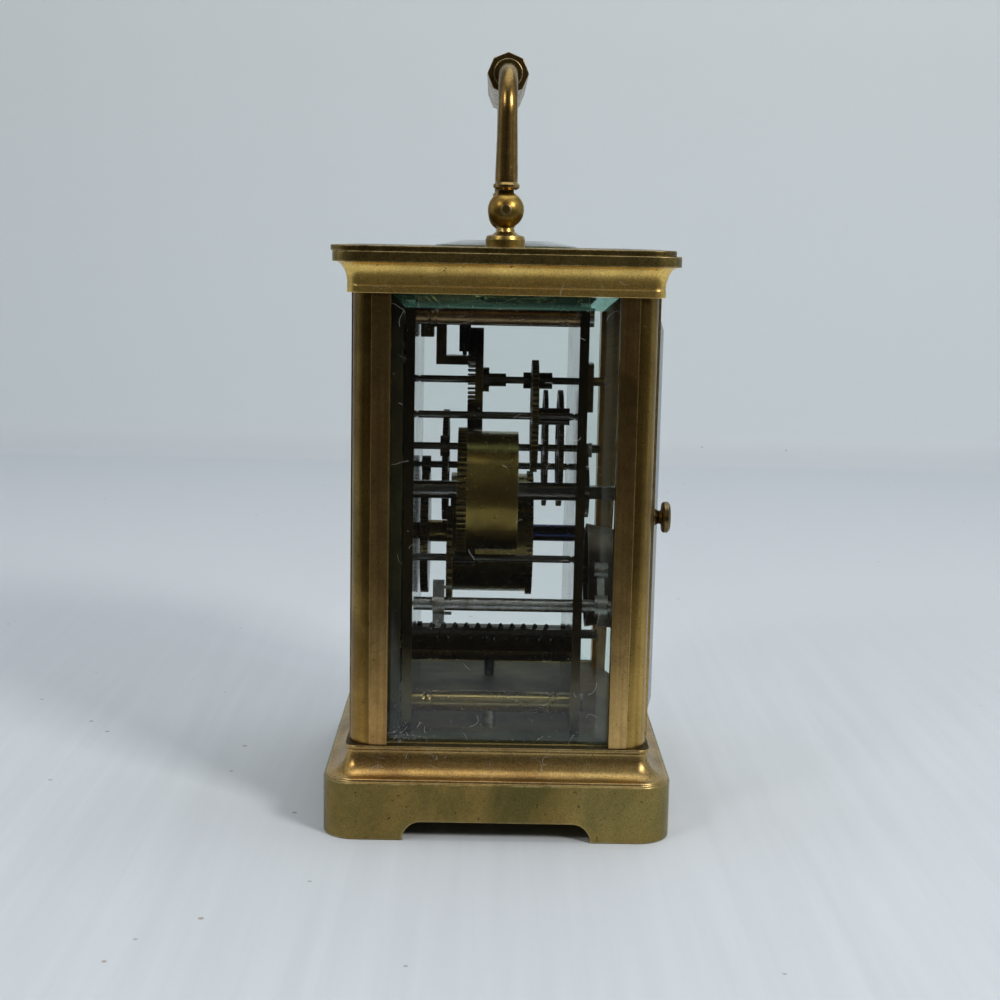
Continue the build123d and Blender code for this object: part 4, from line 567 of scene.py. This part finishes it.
# Cornice and top plate. A brass frame with a hollow cove lies on the pillars,
# and a loose plate with an oval window for the balance lies on top of it.
# The cornice brass is much brighter than the rest of the case: partly a brighter tone of its own, partly a
# painted reflection, because its cove, turned down towards the base, shows more light than the lamps give
# it.
cornice_brass = brass(
    "cornice_brass", cloud_size=75.0, cover=0.7, pits=0.9, edge_wear=0.8, gloss=0.26, grain=0.2, streak=0.0,
    clean=(0.88, 0.61, 0.18, 1), tarnish=(0.52, 0.345, 0.10, 1), worn=(0.92, 0.73, 0.36, 1),
)
plate_brass = brass(
    "plate_brass", cloud_size=90.0, cover=0.95, pits=1.0, edge_wear=0.8, gloss=0.30, grain=0.3, streak=0.0,
    clean=(0.205, 0.148, 0.048, 1), tarnish=(0.080, 0.060, 0.020, 1), worn=(0.70, 0.55, 0.28, 1),
)
lip_brass = brass(
    "lip_brass", cloud_size=90.0, cover=0.9, pits=1.0, edge_wear=0.9, gloss=0.28, grain=0.3, streak=0.0,
    clean=(0.33, 0.245, 0.08, 1), tarnish=(0.13, 0.10, 0.036, 1), worn=(0.82, 0.64, 0.32, 1),
)
lip_height = 0.0025
lip_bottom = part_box("cornice")[1][2] - lip_height
softened(
    "cornice", 0.15, cornice_brass, lip_brass,
    share=lambda face: 1 if face.calc_center_median().z > lip_bottom else 0,
)
softened("top_plate", 0.2, plate_brass)

# Case screws. Steel screws up through the base into the pillars, down through
# the cornice, and up into the lower pillars of the movement.
def steel(name, clean, stained, spread, gloss, drawn=None, **noise):
    """Steel stained in clouds, which are drawn out where drawn gives their scale along X, Y and Z."""
    made, tree, output = fresh_material(name)
    where = node(tree, "ShaderNodeTexCoord")
    stain = node(tree, "ShaderNodeTexNoise", **noise)
    stain_range = ramp(tree, *spread)
    tone = blend_of(tree, clean, stained)
    gloss_range = ramp(tree, 0.3, 0.7, *gloss)
    metal = node(tree, "ShaderNodeBsdfPrincipled")
    metal.inputs["Metallic"].default_value = 1.0
    place = where.outputs["Object"]
    if drawn:
        stretch = node(tree, "ShaderNodeMapping")
        stretch.inputs["Scale"].default_value = drawn
        wire_up(tree, (place, stretch.inputs["Vector"]))
        place = stretch.outputs["Vector"]
    wire_up(
        tree,
        (place, stain.inputs["Vector"]),
        (stain.outputs["Fac"], stain_range.inputs["Value"]),
        (stain.outputs["Fac"], gloss_range.inputs["Value"]),
        (stain_range.outputs["Result"], tone.inputs["Factor"]),
        (tone.outputs["Result"], metal.inputs["Base Color"]),
        (gloss_range.outputs["Result"], metal.inputs["Roughness"]),
        (metal.outputs[0], output.inputs["Surface"]),
    )
    return made


screw_steel = steel(
    "old_steel", (0.30, 0.31, 0.31, 1), (0.09, 0.075, 0.06, 1), spread=(0.45, 0.7), gloss=(0.22, 0.45),
    Scale=300.0, Detail=6.0, Roughness=0.7,
)
dress(screw_steel, "screws", "door_hinge_pins")

# Panes. Thick plate glass with a faint green tint, ground to a bevel round its
# edge and set in grooves of the base, the pillars and the cornice. It is a little
# hazy in places.
def pane_glass_of(name, tint, haze_most, clear=1.0, index=1.5):
    """Glass that lets the lamps through, with a little haze. Below 1, clear makes it milky."""
    made, tree, output = fresh_material(name)
    where = node(tree, "ShaderNodeTexCoord")
    haze = node(tree, "ShaderNodeTexNoise", Scale=60.0, Detail=5.0, Roughness=0.7)
    haze_range = ramp(tree, 0.45, 0.75, 0.0, haze_most)
    glass = node(tree, "ShaderNodeBsdfPrincipled")
    glass.inputs["Base Color"].default_value = tint
    glass.inputs["Transmission Weight"].default_value = clear
    glass.inputs["IOR"].default_value = index
    through = node(tree, "ShaderNodeBsdfTransparent")
    through.inputs["Color"].default_value = (0.93, 0.97, 0.95, 1)
    rays = node(tree, "ShaderNodeLightPath")
    pick = node(tree, "ShaderNodeMixShader")
    wire_up(
        tree,
        (where.outputs["Object"], haze.inputs["Vector"]),
        (haze.outputs["Fac"], haze_range.inputs["Value"]),
        (haze_range.outputs["Result"], glass.inputs["Roughness"]),
        (rays.outputs["Is Shadow Ray"], pick.inputs[0]),
        (glass.outputs[0], pick.inputs[1]),
        (through.outputs[0], pick.inputs[2]),
        (pick.outputs[0], output.inputs["Surface"]),
    )
    return made


pane_glass = pane_glass_of("pane_glass", (0.965, 0.995, 0.985, 1), 0.05, index=1.38)
left_bevel_glass = pane_glass_of("left_bevel_glass", (0.55, 0.75, 0.70, 1), 0.04)
right_bevel_glass = pane_glass_of("right_bevel_glass", (0.80, 0.90, 0.83, 1), 0.04, 0.965)
level_bevel_glass = pane_glass_of("level_bevel_glass", (0.17, 0.42, 0.33, 1), 0.04, 0.79)
slate_bevel_glass = pane_glass_of("slate_bevel_glass", (0.09, 0.13, 0.13, 1), 0.04, 0.6)
oval_glass = pane_glass_of("oval_glass", (0.62, 0.80, 0.84, 1), 0.03)
oval_bevel_glass = pane_glass_of("oval_bevel_glass", (0.42, 0.62, 0.68, 1), 0.03)


def ground_face(face):
    """The bevels don't lie along the case: the upper ones are greenest, the rear ones milky."""
    if max(map(abs, face.normal)) > 0.99:
        return 0
    if face.normal.z > 0.1:
        return 3
    return 2 if face.normal.y > 0.1 else 1


bevels = (left_bevel_glass, right_bevel_glass, level_bevel_glass)
for name in ("side_glass_left", "side_glass_right", "front_glass"):
    softened(name, 0.08, pane_glass, *bevels, share=ground_face)
softened("door_glass", 0.08, pane_glass, *[slate_bevel_glass] * 3, share=ground_face)
softened(
    "top_glass", 0.06, oval_glass, oval_bevel_glass,
    share=lambda face: 1 if 0.02 < abs(face.normal.z) < 0.99 else 0,
)

# Rear door. A narrow brass frame on two steel pins holds its own bevelled pane.
# It is opened by a small turned knob, dark with handling.
softened("door_frame", 0.15, pillar_brass)
knob_brass = brass(
    "knob_brass", cloud_size=160.0, cover=0.85, pits=0.8, edge_wear=0.9, gloss=0.22, grain=0.3, streak=0.0,
    clean=(0.17, 0.125, 0.052, 1), tarnish=(0.06, 0.044, 0.022, 1), worn=(0.50, 0.38, 0.20, 1),
)
dress(knob_brass, "door_knob")

# Handle. Two ball posts screwed into the cornice, two bent arms that turn on
# pins in the balls, and an eight-sided grip with turned rings between them.
handle_brass = brass(
    "handle_brass", cloud_size=120.0, cover=0.85, pits=0.5, edge_wear=0.9, gloss=0.20, grain=0.2,
    streak=0.35,
    clean=(0.335, 0.24, 0.083, 1), tarnish=(0.14, 0.096, 0.033, 1), worn=(0.78, 0.60, 0.34, 1),
)
post_brass = brass(
    "post_brass", cloud_size=120.0, cover=0.8, pits=0.6, edge_wear=0.9, gloss=0.25, grain=0.2, streak=0.25,
    clean=(0.45, 0.31, 0.080, 1), tarnish=(0.18, 0.12, 0.030, 1), worn=(0.82, 0.64, 0.36, 1),
)
dress(post_brass, "handle_posts", "handle_pins")
dress(handle_brass, "handle_arm_left", "handle_arm_right")
softened("handle_grip", 0.12, handle_brass)

# Movement frame. Two brass plates held apart by four pillars with turned rings,
# and the platform and cocks on them. Their brass is dark with age and painted
# darker still as the shade inside the case, the plates darkest of all.
# Painted shade: this brass, which the wheels take too, is coloured far darker than its tarnish alone, for
# the shade inside the case.
movement_brass = brass(
    "movement_brass", cloud_size=120.0, cover=0.85, pits=0.5, edge_wear=0.3, gloss=0.26, grain=0.2,
    streak=0.2,
    clean=(0.105, 0.079, 0.030, 1), tarnish=(0.028, 0.022, 0.013, 1), worn=(0.24, 0.18, 0.08, 1),
)
rosy_brass = brass(
    "rosy_brass", cloud_size=90.0, cover=0.6, pits=0.5, edge_wear=0.5, gloss=0.24, grain=0.2, streak=0.2,
    clean=(0.30, 0.20, 0.105, 1), tarnish=(0.12, 0.08, 0.042, 1), worn=(0.55, 0.42, 0.22, 1),
)
low_brass = brass(
    "low_brass", strength=0.08, cloud_size=90.0, cover=0.5, pits=0.4, edge_wear=0.7, gloss=0.18, grain=0.1,
    streak=0.1,
    clean=(0.36, 0.30, 0.12, 1), tarnish=(0.16, 0.13, 0.055, 1), worn=(0.75, 0.62, 0.30, 1),
)
# Painted shade: near-black brass for the flat bar between the plates and for the back and edges of the dial
# mask, where the inside of the case is in shade.
dark_brass = brass(
    "dark_brass", cloud_size=110.0, cover=0.9, pits=0.5, edge_wear=0.3, gloss=0.36, grain=0.2, streak=0.2,
    clean=(0.06, 0.046, 0.02, 1), tarnish=(0.022, 0.018, 0.012, 1), worn=(0.2, 0.16, 0.08, 1),
)
# The plates are painted nearly black: painted shade inside the case over their tarnish.
plate_sheet = brass(
    "plate_sheet", relief=0.00005, strength=0.5, cloud_size=120.0, cover=0.9, pits=1.0, edge_wear=0.3,
    gloss=0.03, grain=0.4, streak=0.2,
    clean=(0.085, 0.066, 0.028, 1), tarnish=(0.025, 0.02, 0.012, 1), worn=(0.18, 0.14, 0.07, 1),
)
dress(plate_sheet, "front_plate", "back_plate")
dress(movement_brass, "platform", "contrate_cocks", "balance_cock")


def frame_share(face):
    """The upper pillars are rosy, the lower ones yellow, the flat bar painted dark as shade."""
    middle, bar_reach, half_way_up = face.calc_center_median(), 0.02, 0.1
    if abs(middle.x) < bar_reach:
        return 2
    return 0 if middle.z > half_way_up else 1


softened("movement_pillars", 0.06, rosy_brass, low_brass, dark_brass, share=frame_share)

# Barrels. Each mainspring sits in a brass drum with a toothed great wheel, on
# an arbor with a ratchet, a click and a winding square behind the back plate.
drum_brass = brass(
    "drum_brass", cloud_size=100.0, cover=0.6, pits=0.7, edge_wear=0.5, gloss=0.17, grain=0.15, streak=0.0,
    clean=(0.225, 0.175, 0.048, 1), tarnish=(0.055, 0.043, 0.013, 1), worn=(0.55, 0.44, 0.19, 1),
)
going_brass = brass(
    "going_brass", cloud_size=100.0, cover=0.8, pits=0.7, edge_wear=0.4, gloss=0.2, grain=0.15, streak=0.0,
    clean=(0.16, 0.125, 0.042, 1), tarnish=(0.05, 0.04, 0.018, 1), worn=(0.3, 0.24, 0.1, 1),
)
dress(going_brass, "going_barrel")
drum_front = -0.0083
softened(
    "alarm_barrel", 0, drum_brass, going_brass,
    share=lambda face: 1 if face.calc_center_median().y < drum_front else 0,
)
movement_steel = steel(
    "movement_steel", (0.21, 0.21, 0.20, 1), (0.048, 0.042, 0.036, 1), spread=(0.40, 0.66),
    gloss=(0.12, 0.30), drawn=(700.0, 30.0, 700.0), Scale=1.0, Detail=5.0, Roughness=0.6,
)
dress(movement_steel, "alarm_winding_arbor", "going_click", "alarm_click", "mainsprings")

# Going train. Cut brass wheels on steel arbors with leaved pinions, and a
# contrate wheel whose crown of teeth turns the drive up to the platform.
dress(movement_brass, "intermediate_wheel", "centre_wheel", "third_wheel", "contrate_wheel")
dress(movement_steel, "intermediate_arbor", "centre_arbor", "third_arbor", "contrate_arbor")

# Escapement. A steel escape wheel and lever under a screwed bimetal balance
# with a blued hairspring, seen through the oval glass.
balance_brass = brass(
    "balance_brass", cloud_size=200.0, cover=0.4, pits=0.2, edge_wear=0.5, gloss=0.18, grain=0.1,
    streak=0.0,
    clean=(0.62, 0.46, 0.18, 1), tarnish=(0.36, 0.25, 0.09, 1), worn=(0.80, 0.65, 0.35, 1),
)
dress(movement_steel, "escape_wheel", "pallet_lever")
dress(balance_brass, "balance_wheel")
blued_steel = steel(
    "blued_steel", (0.015, 0.033, 0.105, 1), (0.038, 0.023, 0.068, 1), spread=(0.40, 0.68),
    gloss=(0.16, 0.30), Scale=260.0, Detail=3.0, Roughness=0.5,
)
dress(blued_steel, "hairspring", "going_winding_arbor")

# Dial. A white enamelled plate with a small alarm dial below, behind a matt gilt
# mask. Hour numerals, the minute track and the alarm numerals are fired black.
enamel, tree, output = fresh_material("enamel")
where = node(tree, "ShaderNodeTexCoord")
age = node(tree, "ShaderNodeTexNoise", Scale=90.0, Detail=5.0, Roughness=0.6)
age_range = ramp(tree, 0.40, 0.72)
tone = blend_of(tree, (0.84, 0.83, 0.78, 1), (0.74, 0.71, 0.62, 1))
crack = node(tree, "ShaderNodeTexVoronoi", feature="DISTANCE_TO_EDGE", Scale=120.0)
crack_range = ramp(tree, 0.0, 0.012, 0.0, 1.0)
fired = node(tree, "ShaderNodeBump")
fired.inputs["Strength"].default_value = 0.12
fired.inputs["Distance"].default_value = 0.00005
shell = node(tree, "ShaderNodeBsdfPrincipled")
shell.inputs["Roughness"].default_value = 0.12
shell.inputs["Coat Weight"].default_value = 0.4
wire_up(
    tree,
    (where.outputs["Object"], age.inputs["Vector"]),
    (age.outputs["Fac"], age_range.inputs["Value"]),
    (age_range.outputs["Result"], tone.inputs["Factor"]),
    (tone.outputs["Result"], shell.inputs["Base Color"]),
    (where.outputs["Object"], crack.inputs["Vector"]),
    (crack.outputs["Distance"], crack_range.inputs["Value"]),
    (crack_range.outputs["Result"], fired.inputs["Height"]),
    (fired.outputs["Normal"], shell.inputs["Normal"]),
    (shell.outputs[0], output.inputs["Surface"]),
)
dress(enamel, "dial")
mask_gilt = brass(
    "mask_gilt", relief=0.00003, strength=0.6, cloud_size=60.0, cover=0.4, pits=0.3, edge_wear=0.8,
    gloss=0.36, grain=0.22, streak=0.0,
    clean=(0.60, 0.43, 0.17, 1), tarnish=(0.36, 0.24, 0.085, 1), worn=(0.85, 0.68, 0.38, 1),
)
# The mask's back and edges take the near-black brass as painted shade, so the front plate shows no bright
# reflection of them.
mask_face = -0.0289
softened(
    "dial_mask", 0.15, mask_gilt, dark_brass,
    share=lambda face: 0 if abs(face.normal.y) > 0.5 and face.calc_center_median().y < mask_face else 1,
)

black_enamel, tree, output = fresh_material("black_enamel")
where = node(tree, "ShaderNodeTexCoord")
worn_ink = node(tree, "ShaderNodeTexNoise", Scale=1400.0, Detail=3.0, Roughness=0.6)
ink_range = ramp(tree, 0.45, 0.75)
tone = blend_of(tree, (0.012, 0.012, 0.014, 1), (0.06, 0.058, 0.055, 1))
ink = node(tree, "ShaderNodeBsdfPrincipled")
ink.inputs["Roughness"].default_value = 0.35
wire_up(
    tree,
    (where.outputs["Object"], worn_ink.inputs["Vector"]),
    (worn_ink.outputs["Fac"], ink_range.inputs["Value"]),
    (ink_range.outputs["Result"], tone.inputs["Factor"]),
    (tone.outputs["Result"], ink.inputs["Base Color"]),
    (ink.outputs[0], output.inputs["Surface"]),
)

enamel_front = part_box("dial")[0][1] * 1000
ink_thickness, ink_overlap = 0.04, 0.01
main_centre = (0.0, 87.0)
alarm_centre = (0.0, 38.8)
numeral_radius, numeral_height = 20.0, 5.2
track_radius, track_width = 24.2, 0.9
alarm_inside, alarm_outside, figure_radius = 8.7, 9.3, 7.1


def on_dial(work, outline):
    """Adds one closed shape of black enamel, given as (across, up) points in millimetres."""
    front_y, back_y = (enamel_front - ink_thickness) / 1000, (enamel_front + ink_overlap) / 1000
    front = [work.verts.new((x / 1000, front_y, z / 1000)) for x, z in outline]
    back = [work.verts.new((x / 1000, back_y, z / 1000)) for x, z in outline]
    work.faces.new(front)
    work.faces.new(back[::-1])
    count = len(outline)
    for n in range(count):
        work.faces.new((front[n - 1], back[n - 1], back[n], front[n]))


def bar(start, end, wide_start, wide_end):
    """A straight stroke between two points, with its own width at each end."""
    (x0, z0), (x1, z1) = start, end
    length = math.hypot(x1 - x0, z1 - z0)
    u, v = (z0 - z1) / length / 2, (x1 - x0) / length / 2
    return [
        (x0 + u * wide_start, z0 + v * wide_start), (x0 - u * wide_start, z0 - v * wide_start),
        (x1 - u * wide_end, z1 - v * wide_end), (x1 + u * wide_end, z1 + v * wide_end),
    ]


def roman(letters, tall):
    """The strokes of a Roman numeral, middle at the origin, thick and thin as on a dial."""
    thick, thin, gap = 0.17 * tall, 0.05 * tall, 0.12 * tall
    widths = {"I": thick, "V": 0.62 * tall, "X": 0.62 * tall}
    total = sum(widths[letter] for letter in letters) + gap * (len(letters) - 1)
    strokes, x, top, low = [], -total / 2, tall / 2, -tall / 2
    for letter in letters:
        wide = widths[letter]
        if letter == "I":
            strokes.append(bar((x + wide / 2, low), (x + wide / 2, top), thick, thick))
        elif letter == "V":
            strokes.append(bar((x + thick / 2, top), (x + wide / 2 + thick * 0.2, low), thick, thick))
            strokes.append(bar((x + wide - thin, top), (x + wide / 2, low), thin, thin))
        else:
            strokes.append(bar((x + thick / 2, top), (x + wide - thick / 2, low), thick, thick))
            strokes.append(bar((x + wide - thin, top), (x + thin, low), thin, thin))
        x += wide + gap
    for level in (top, low):
        strokes.append(bar((-total / 2 - thin, level), (total / 2 + thin, level), thin, thin))
    return strokes


def ring_outline(work, centre, radius, wide, count=180):
    """A thin round line of black enamel."""
    for n in range(count):
        a, b = 2 * math.pi * n / count, 2 * math.pi * (n + 1) / count
        start = (centre[0] + radius * math.sin(a), centre[1] + radius * math.cos(a))
        end = (centre[0] + radius * math.sin(b), centre[1] + radius * math.cos(b))
        on_dial(work, bar(start, end, wide, wide))


def inked(name, work):
    """Makes the black enamel piece on the dial."""
    bmesh.ops.recalc_face_normals(work, faces=work.faces)
    mesh = bpy.data.meshes.new(name)
    work.to_mesh(mesh)
    work.free()
    mesh.materials.append(black_enamel)
    made = bpy.data.objects.new(name, mesh)
    scene.collection.objects.link(made)
    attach(made, "case")


work = bmesh.new()
hours = ("XII", "I", "II", "III", "IIII", "V", "VI", "VII", "VIII", "IX", "X", "XI")
for hour, letters in enumerate(hours):
    turn = -math.radians(30 * hour)
    narrow = 1.0 if len(letters) < 4 else 0.86
    for stroke in roman(letters, numeral_height):
        placed = []
        for x, z in stroke:
            x, z = x * narrow, z + numeral_radius
            placed.append((
                main_centre[0] + x * math.cos(turn) - z * math.sin(turn),
                main_centre[1] + x * math.sin(turn) + z * math.cos(turn),
            ))
        on_dial(work, placed)
inked("hour_numerals", work)
work = bmesh.new()
for radius in (track_radius - track_width / 2, track_radius + track_width / 2):
    ring_outline(work, main_centre, radius, 0.12)
for minute in range(60):
    angle = math.radians(6 * minute)
    wide = 0.5 if minute % 5 == 0 else 0.16
    inside, outside = track_radius - track_width / 2, track_radius + track_width / 2
    on_dial(work, bar(
        (main_centre[0] + inside * math.sin(angle), main_centre[1] + inside * math.cos(angle)),
        (main_centre[0] + outside * math.sin(angle), main_centre[1] + outside * math.cos(angle)),
        wide, wide,
    ))
inked("minute_track", work)
work = bmesh.new()
for radius in (alarm_inside, alarm_outside):
    ring_outline(work, alarm_centre, radius, 0.09, 120)
for step in range(48):
    angle = math.radians(7.5 * step)
    wide = 0.26 if step % 4 == 0 else 0.09
    sideways, up = math.sin(angle), math.cos(angle)
    on_dial(work, bar(
        (alarm_centre[0] + alarm_inside * sideways, alarm_centre[1] + alarm_inside * up),
        (alarm_centre[0] + alarm_outside * sideways, alarm_centre[1] + alarm_outside * up),
        wide, wide,
    ))
inked("alarm_track", work)
for hour in range(1, 13):
    letters = bpy.data.curves.new(f"alarm_figure_{hour}", "FONT")
    letters.body = str(hour)
    letters.size = 0.0026
    letters.align_x = "CENTER"
    letters.align_y = "CENTER"
    letters.extrude = 0.00002
    text = bpy.data.objects.new(f"alarm_figure_text_{hour}", letters)
    scene.collection.objects.link(text)
    bpy.context.view_layer.update()
    mesh = bpy.data.meshes.new_from_object(text)
    bpy.data.objects.remove(text)
    angle = math.radians(30 * hour)
    place = Vector((
        (alarm_centre[0] + figure_radius * math.sin(angle)) / 1000,
        (enamel_front - ink_thickness / 2) / 1000,
        (alarm_centre[1] + figure_radius * math.cos(angle)) / 1000,
    ))
    mesh.transform(Matrix.Translation(place) @ Matrix.Rotation(math.pi / 2, 4, "X"))
    mesh.name = f"alarm_figure_{hour}"
    mesh.materials.clear()
    mesh.materials.append(black_enamel)
    figure = bpy.data.objects.new(f"alarm_figure_{hour}", mesh)
    scene.collection.objects.link(figure)
    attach(figure, "case")

# Hands and motion work. Flat blued hands on the pipes of the hour wheel and the
# cannon pinion, which the minute wheel joins behind the dial.
dress(blued_steel, "hour_hand", "minute_hand", "alarm_hand")
dress(movement_steel, "cannon_pinion")
dress(movement_brass, "hour_wheel", "minute_wheel")

# Alarm work. The setting arbor with a loose coil of steel wire round it, the
# verge wheel, the hammer on its long arbor, and the bell behind the back plate.
bell_metal = brass(
    "bell_metal", cloud_size=60.0, cover=0.6, pits=0.4, edge_wear=0.5, gloss=0.30, grain=0.1, streak=0.0,
    clean=(0.060, 0.054, 0.044, 1), tarnish=(0.022, 0.020, 0.016, 1), worn=(0.40, 0.37, 0.30, 1),
)
dress(movement_brass, "alarm_wheel")
dress(movement_steel, "alarm_arbor", "alarm_set_arbor", "alarm_set_spring")
dress(screw_steel, "alarm_hammer")
dress(bell_metal, "bell")

# Dust. Lint and specks cling to the near pane, the base's cove and the cornice,
# and gather at the pane's lower front corner, where its bevel is chipped.
seed = random.Random(11)
beyond, bare_rim, fibre_step = 0.06, 0.0001, 0.28
dust, tree, output = fresh_material("dust")
where = node(tree, "ShaderNodeTexCoord")
uneven = node(tree, "ShaderNodeTexNoise", Scale=500.0, Detail=2.0)
tone = blend_of(tree, (0.34, 0.35, 0.33, 1), (0.66, 0.66, 0.63, 1))
fluff = node(tree, "ShaderNodeBsdfPrincipled")
fluff.inputs["Roughness"].default_value = 0.9
wire_up(
    tree,
    (where.outputs["Object"], uneven.inputs["Vector"]),
    (uneven.outputs["Fac"], tone.inputs["Factor"]),
    (tone.outputs["Result"], fluff.inputs["Base Color"]),
    (fluff.outputs[0], output.inputs["Surface"]),
)


def lay_on(name, target, fibres, specks, place):
    """Fibres and specks on the side of a piece that faces +X, where place() says."""
    source = nodes[target]
    ground = BVHTree.FromPolygons(
        [source.matrix_world @ v.co for v in source.data.vertices],
        [p.vertices for p in source.data.polygons],
    )
    work = bmesh.new()

    def touch(y, z):
        hit, normal, _, _ = ground.ray_cast(Vector((beyond, y / 1000, z / 1000)), Vector((-1, 0, 0)))
        # The outermost face stays bare, so that no dust leaves the CAD model's box.
        if hit is not None and hit.x > cad_box[1][0] - bare_rim:
            return None, None
        return hit, normal

    for n in range(specks):
        hit, _ = touch(*place())
        if hit is None:
            continue
        grain = bmesh.ops.create_icosphere(work, subdivisions=1, radius=seed.uniform(0.03, 0.09) / 1000)
        bmesh.ops.scale(work, verts=grain["verts"], vec=(1, seed.uniform(0.7, 1.6), seed.uniform(0.7, 1.6)))
        bmesh.ops.translate(work, verts=grain["verts"], vec=hit)
    for n in range(fibres):
        y, z = place()
        heading, bend = seed.uniform(0, 6.3), seed.uniform(-0.25, 0.25)
        thick, last = seed.uniform(0.016, 0.034) / 1000, None
        for step in range(seed.randint(5, 16)):
            hit, normal = touch(y, z)
            if hit is None:
                break
            aside = Vector((0, -math.sin(heading), math.cos(heading)))
            middle = hit + normal * thick * 0.6
            spokes = (aside * thick, normal * thick, -aside * thick, -normal * thick)
            ring = [work.verts.new(middle + spoke) for spoke in spokes]
            if last:
                for k in range(4):
                    work.faces.new((last[k - 1], last[k], ring[k], ring[k - 1]))
            else:
                work.faces.new(ring)
            last = ring
            y += fibre_step * math.cos(heading)
            z += fibre_step * math.sin(heading)
            heading += bend + seed.uniform(-0.3, 0.3)
        if last:
            work.faces.new(last[::-1])
    bmesh.ops.recalc_face_normals(work, faces=work.faces)
    mesh = bpy.data.meshes.new(name)
    work.to_mesh(mesh)
    work.free()
    mesh.materials.append(dust)
    made = bpy.data.objects.new(name, mesh)
    scene.collection.objects.link(made)
    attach(made, "case")


def over_pane():
    """A place on the near pane, more often near its ends."""
    z = seed.choice((seed.uniform(22, 126), 126 - abs(seed.gauss(0, 4)), 22 + abs(seed.gauss(0, 5))))
    return seed.uniform(-25.5, 25.5), z


def chipped_corner():
    """A place near the lower front corner of the near pane."""
    return -24.6 + abs(seed.gauss(0, 3.5)), 21.4 + abs(seed.gauss(0, 2.2))


lay_on("pane_dust", "side_glass_right", 46, 240, over_pane)
lay_on("pane_chips", "side_glass_right", 9, 70, chipped_corner)
lay_on(
    "cove_dust", "base", 26, 90,
    lambda: (seed.uniform(-34, 34), seed.uniform(14.6, 20.5)),
)
lay_on(
    "cornice_dust", "cornice", 6, 50,
    lambda: (seed.uniform(-33, 33), seed.uniform(128, 132)),
)
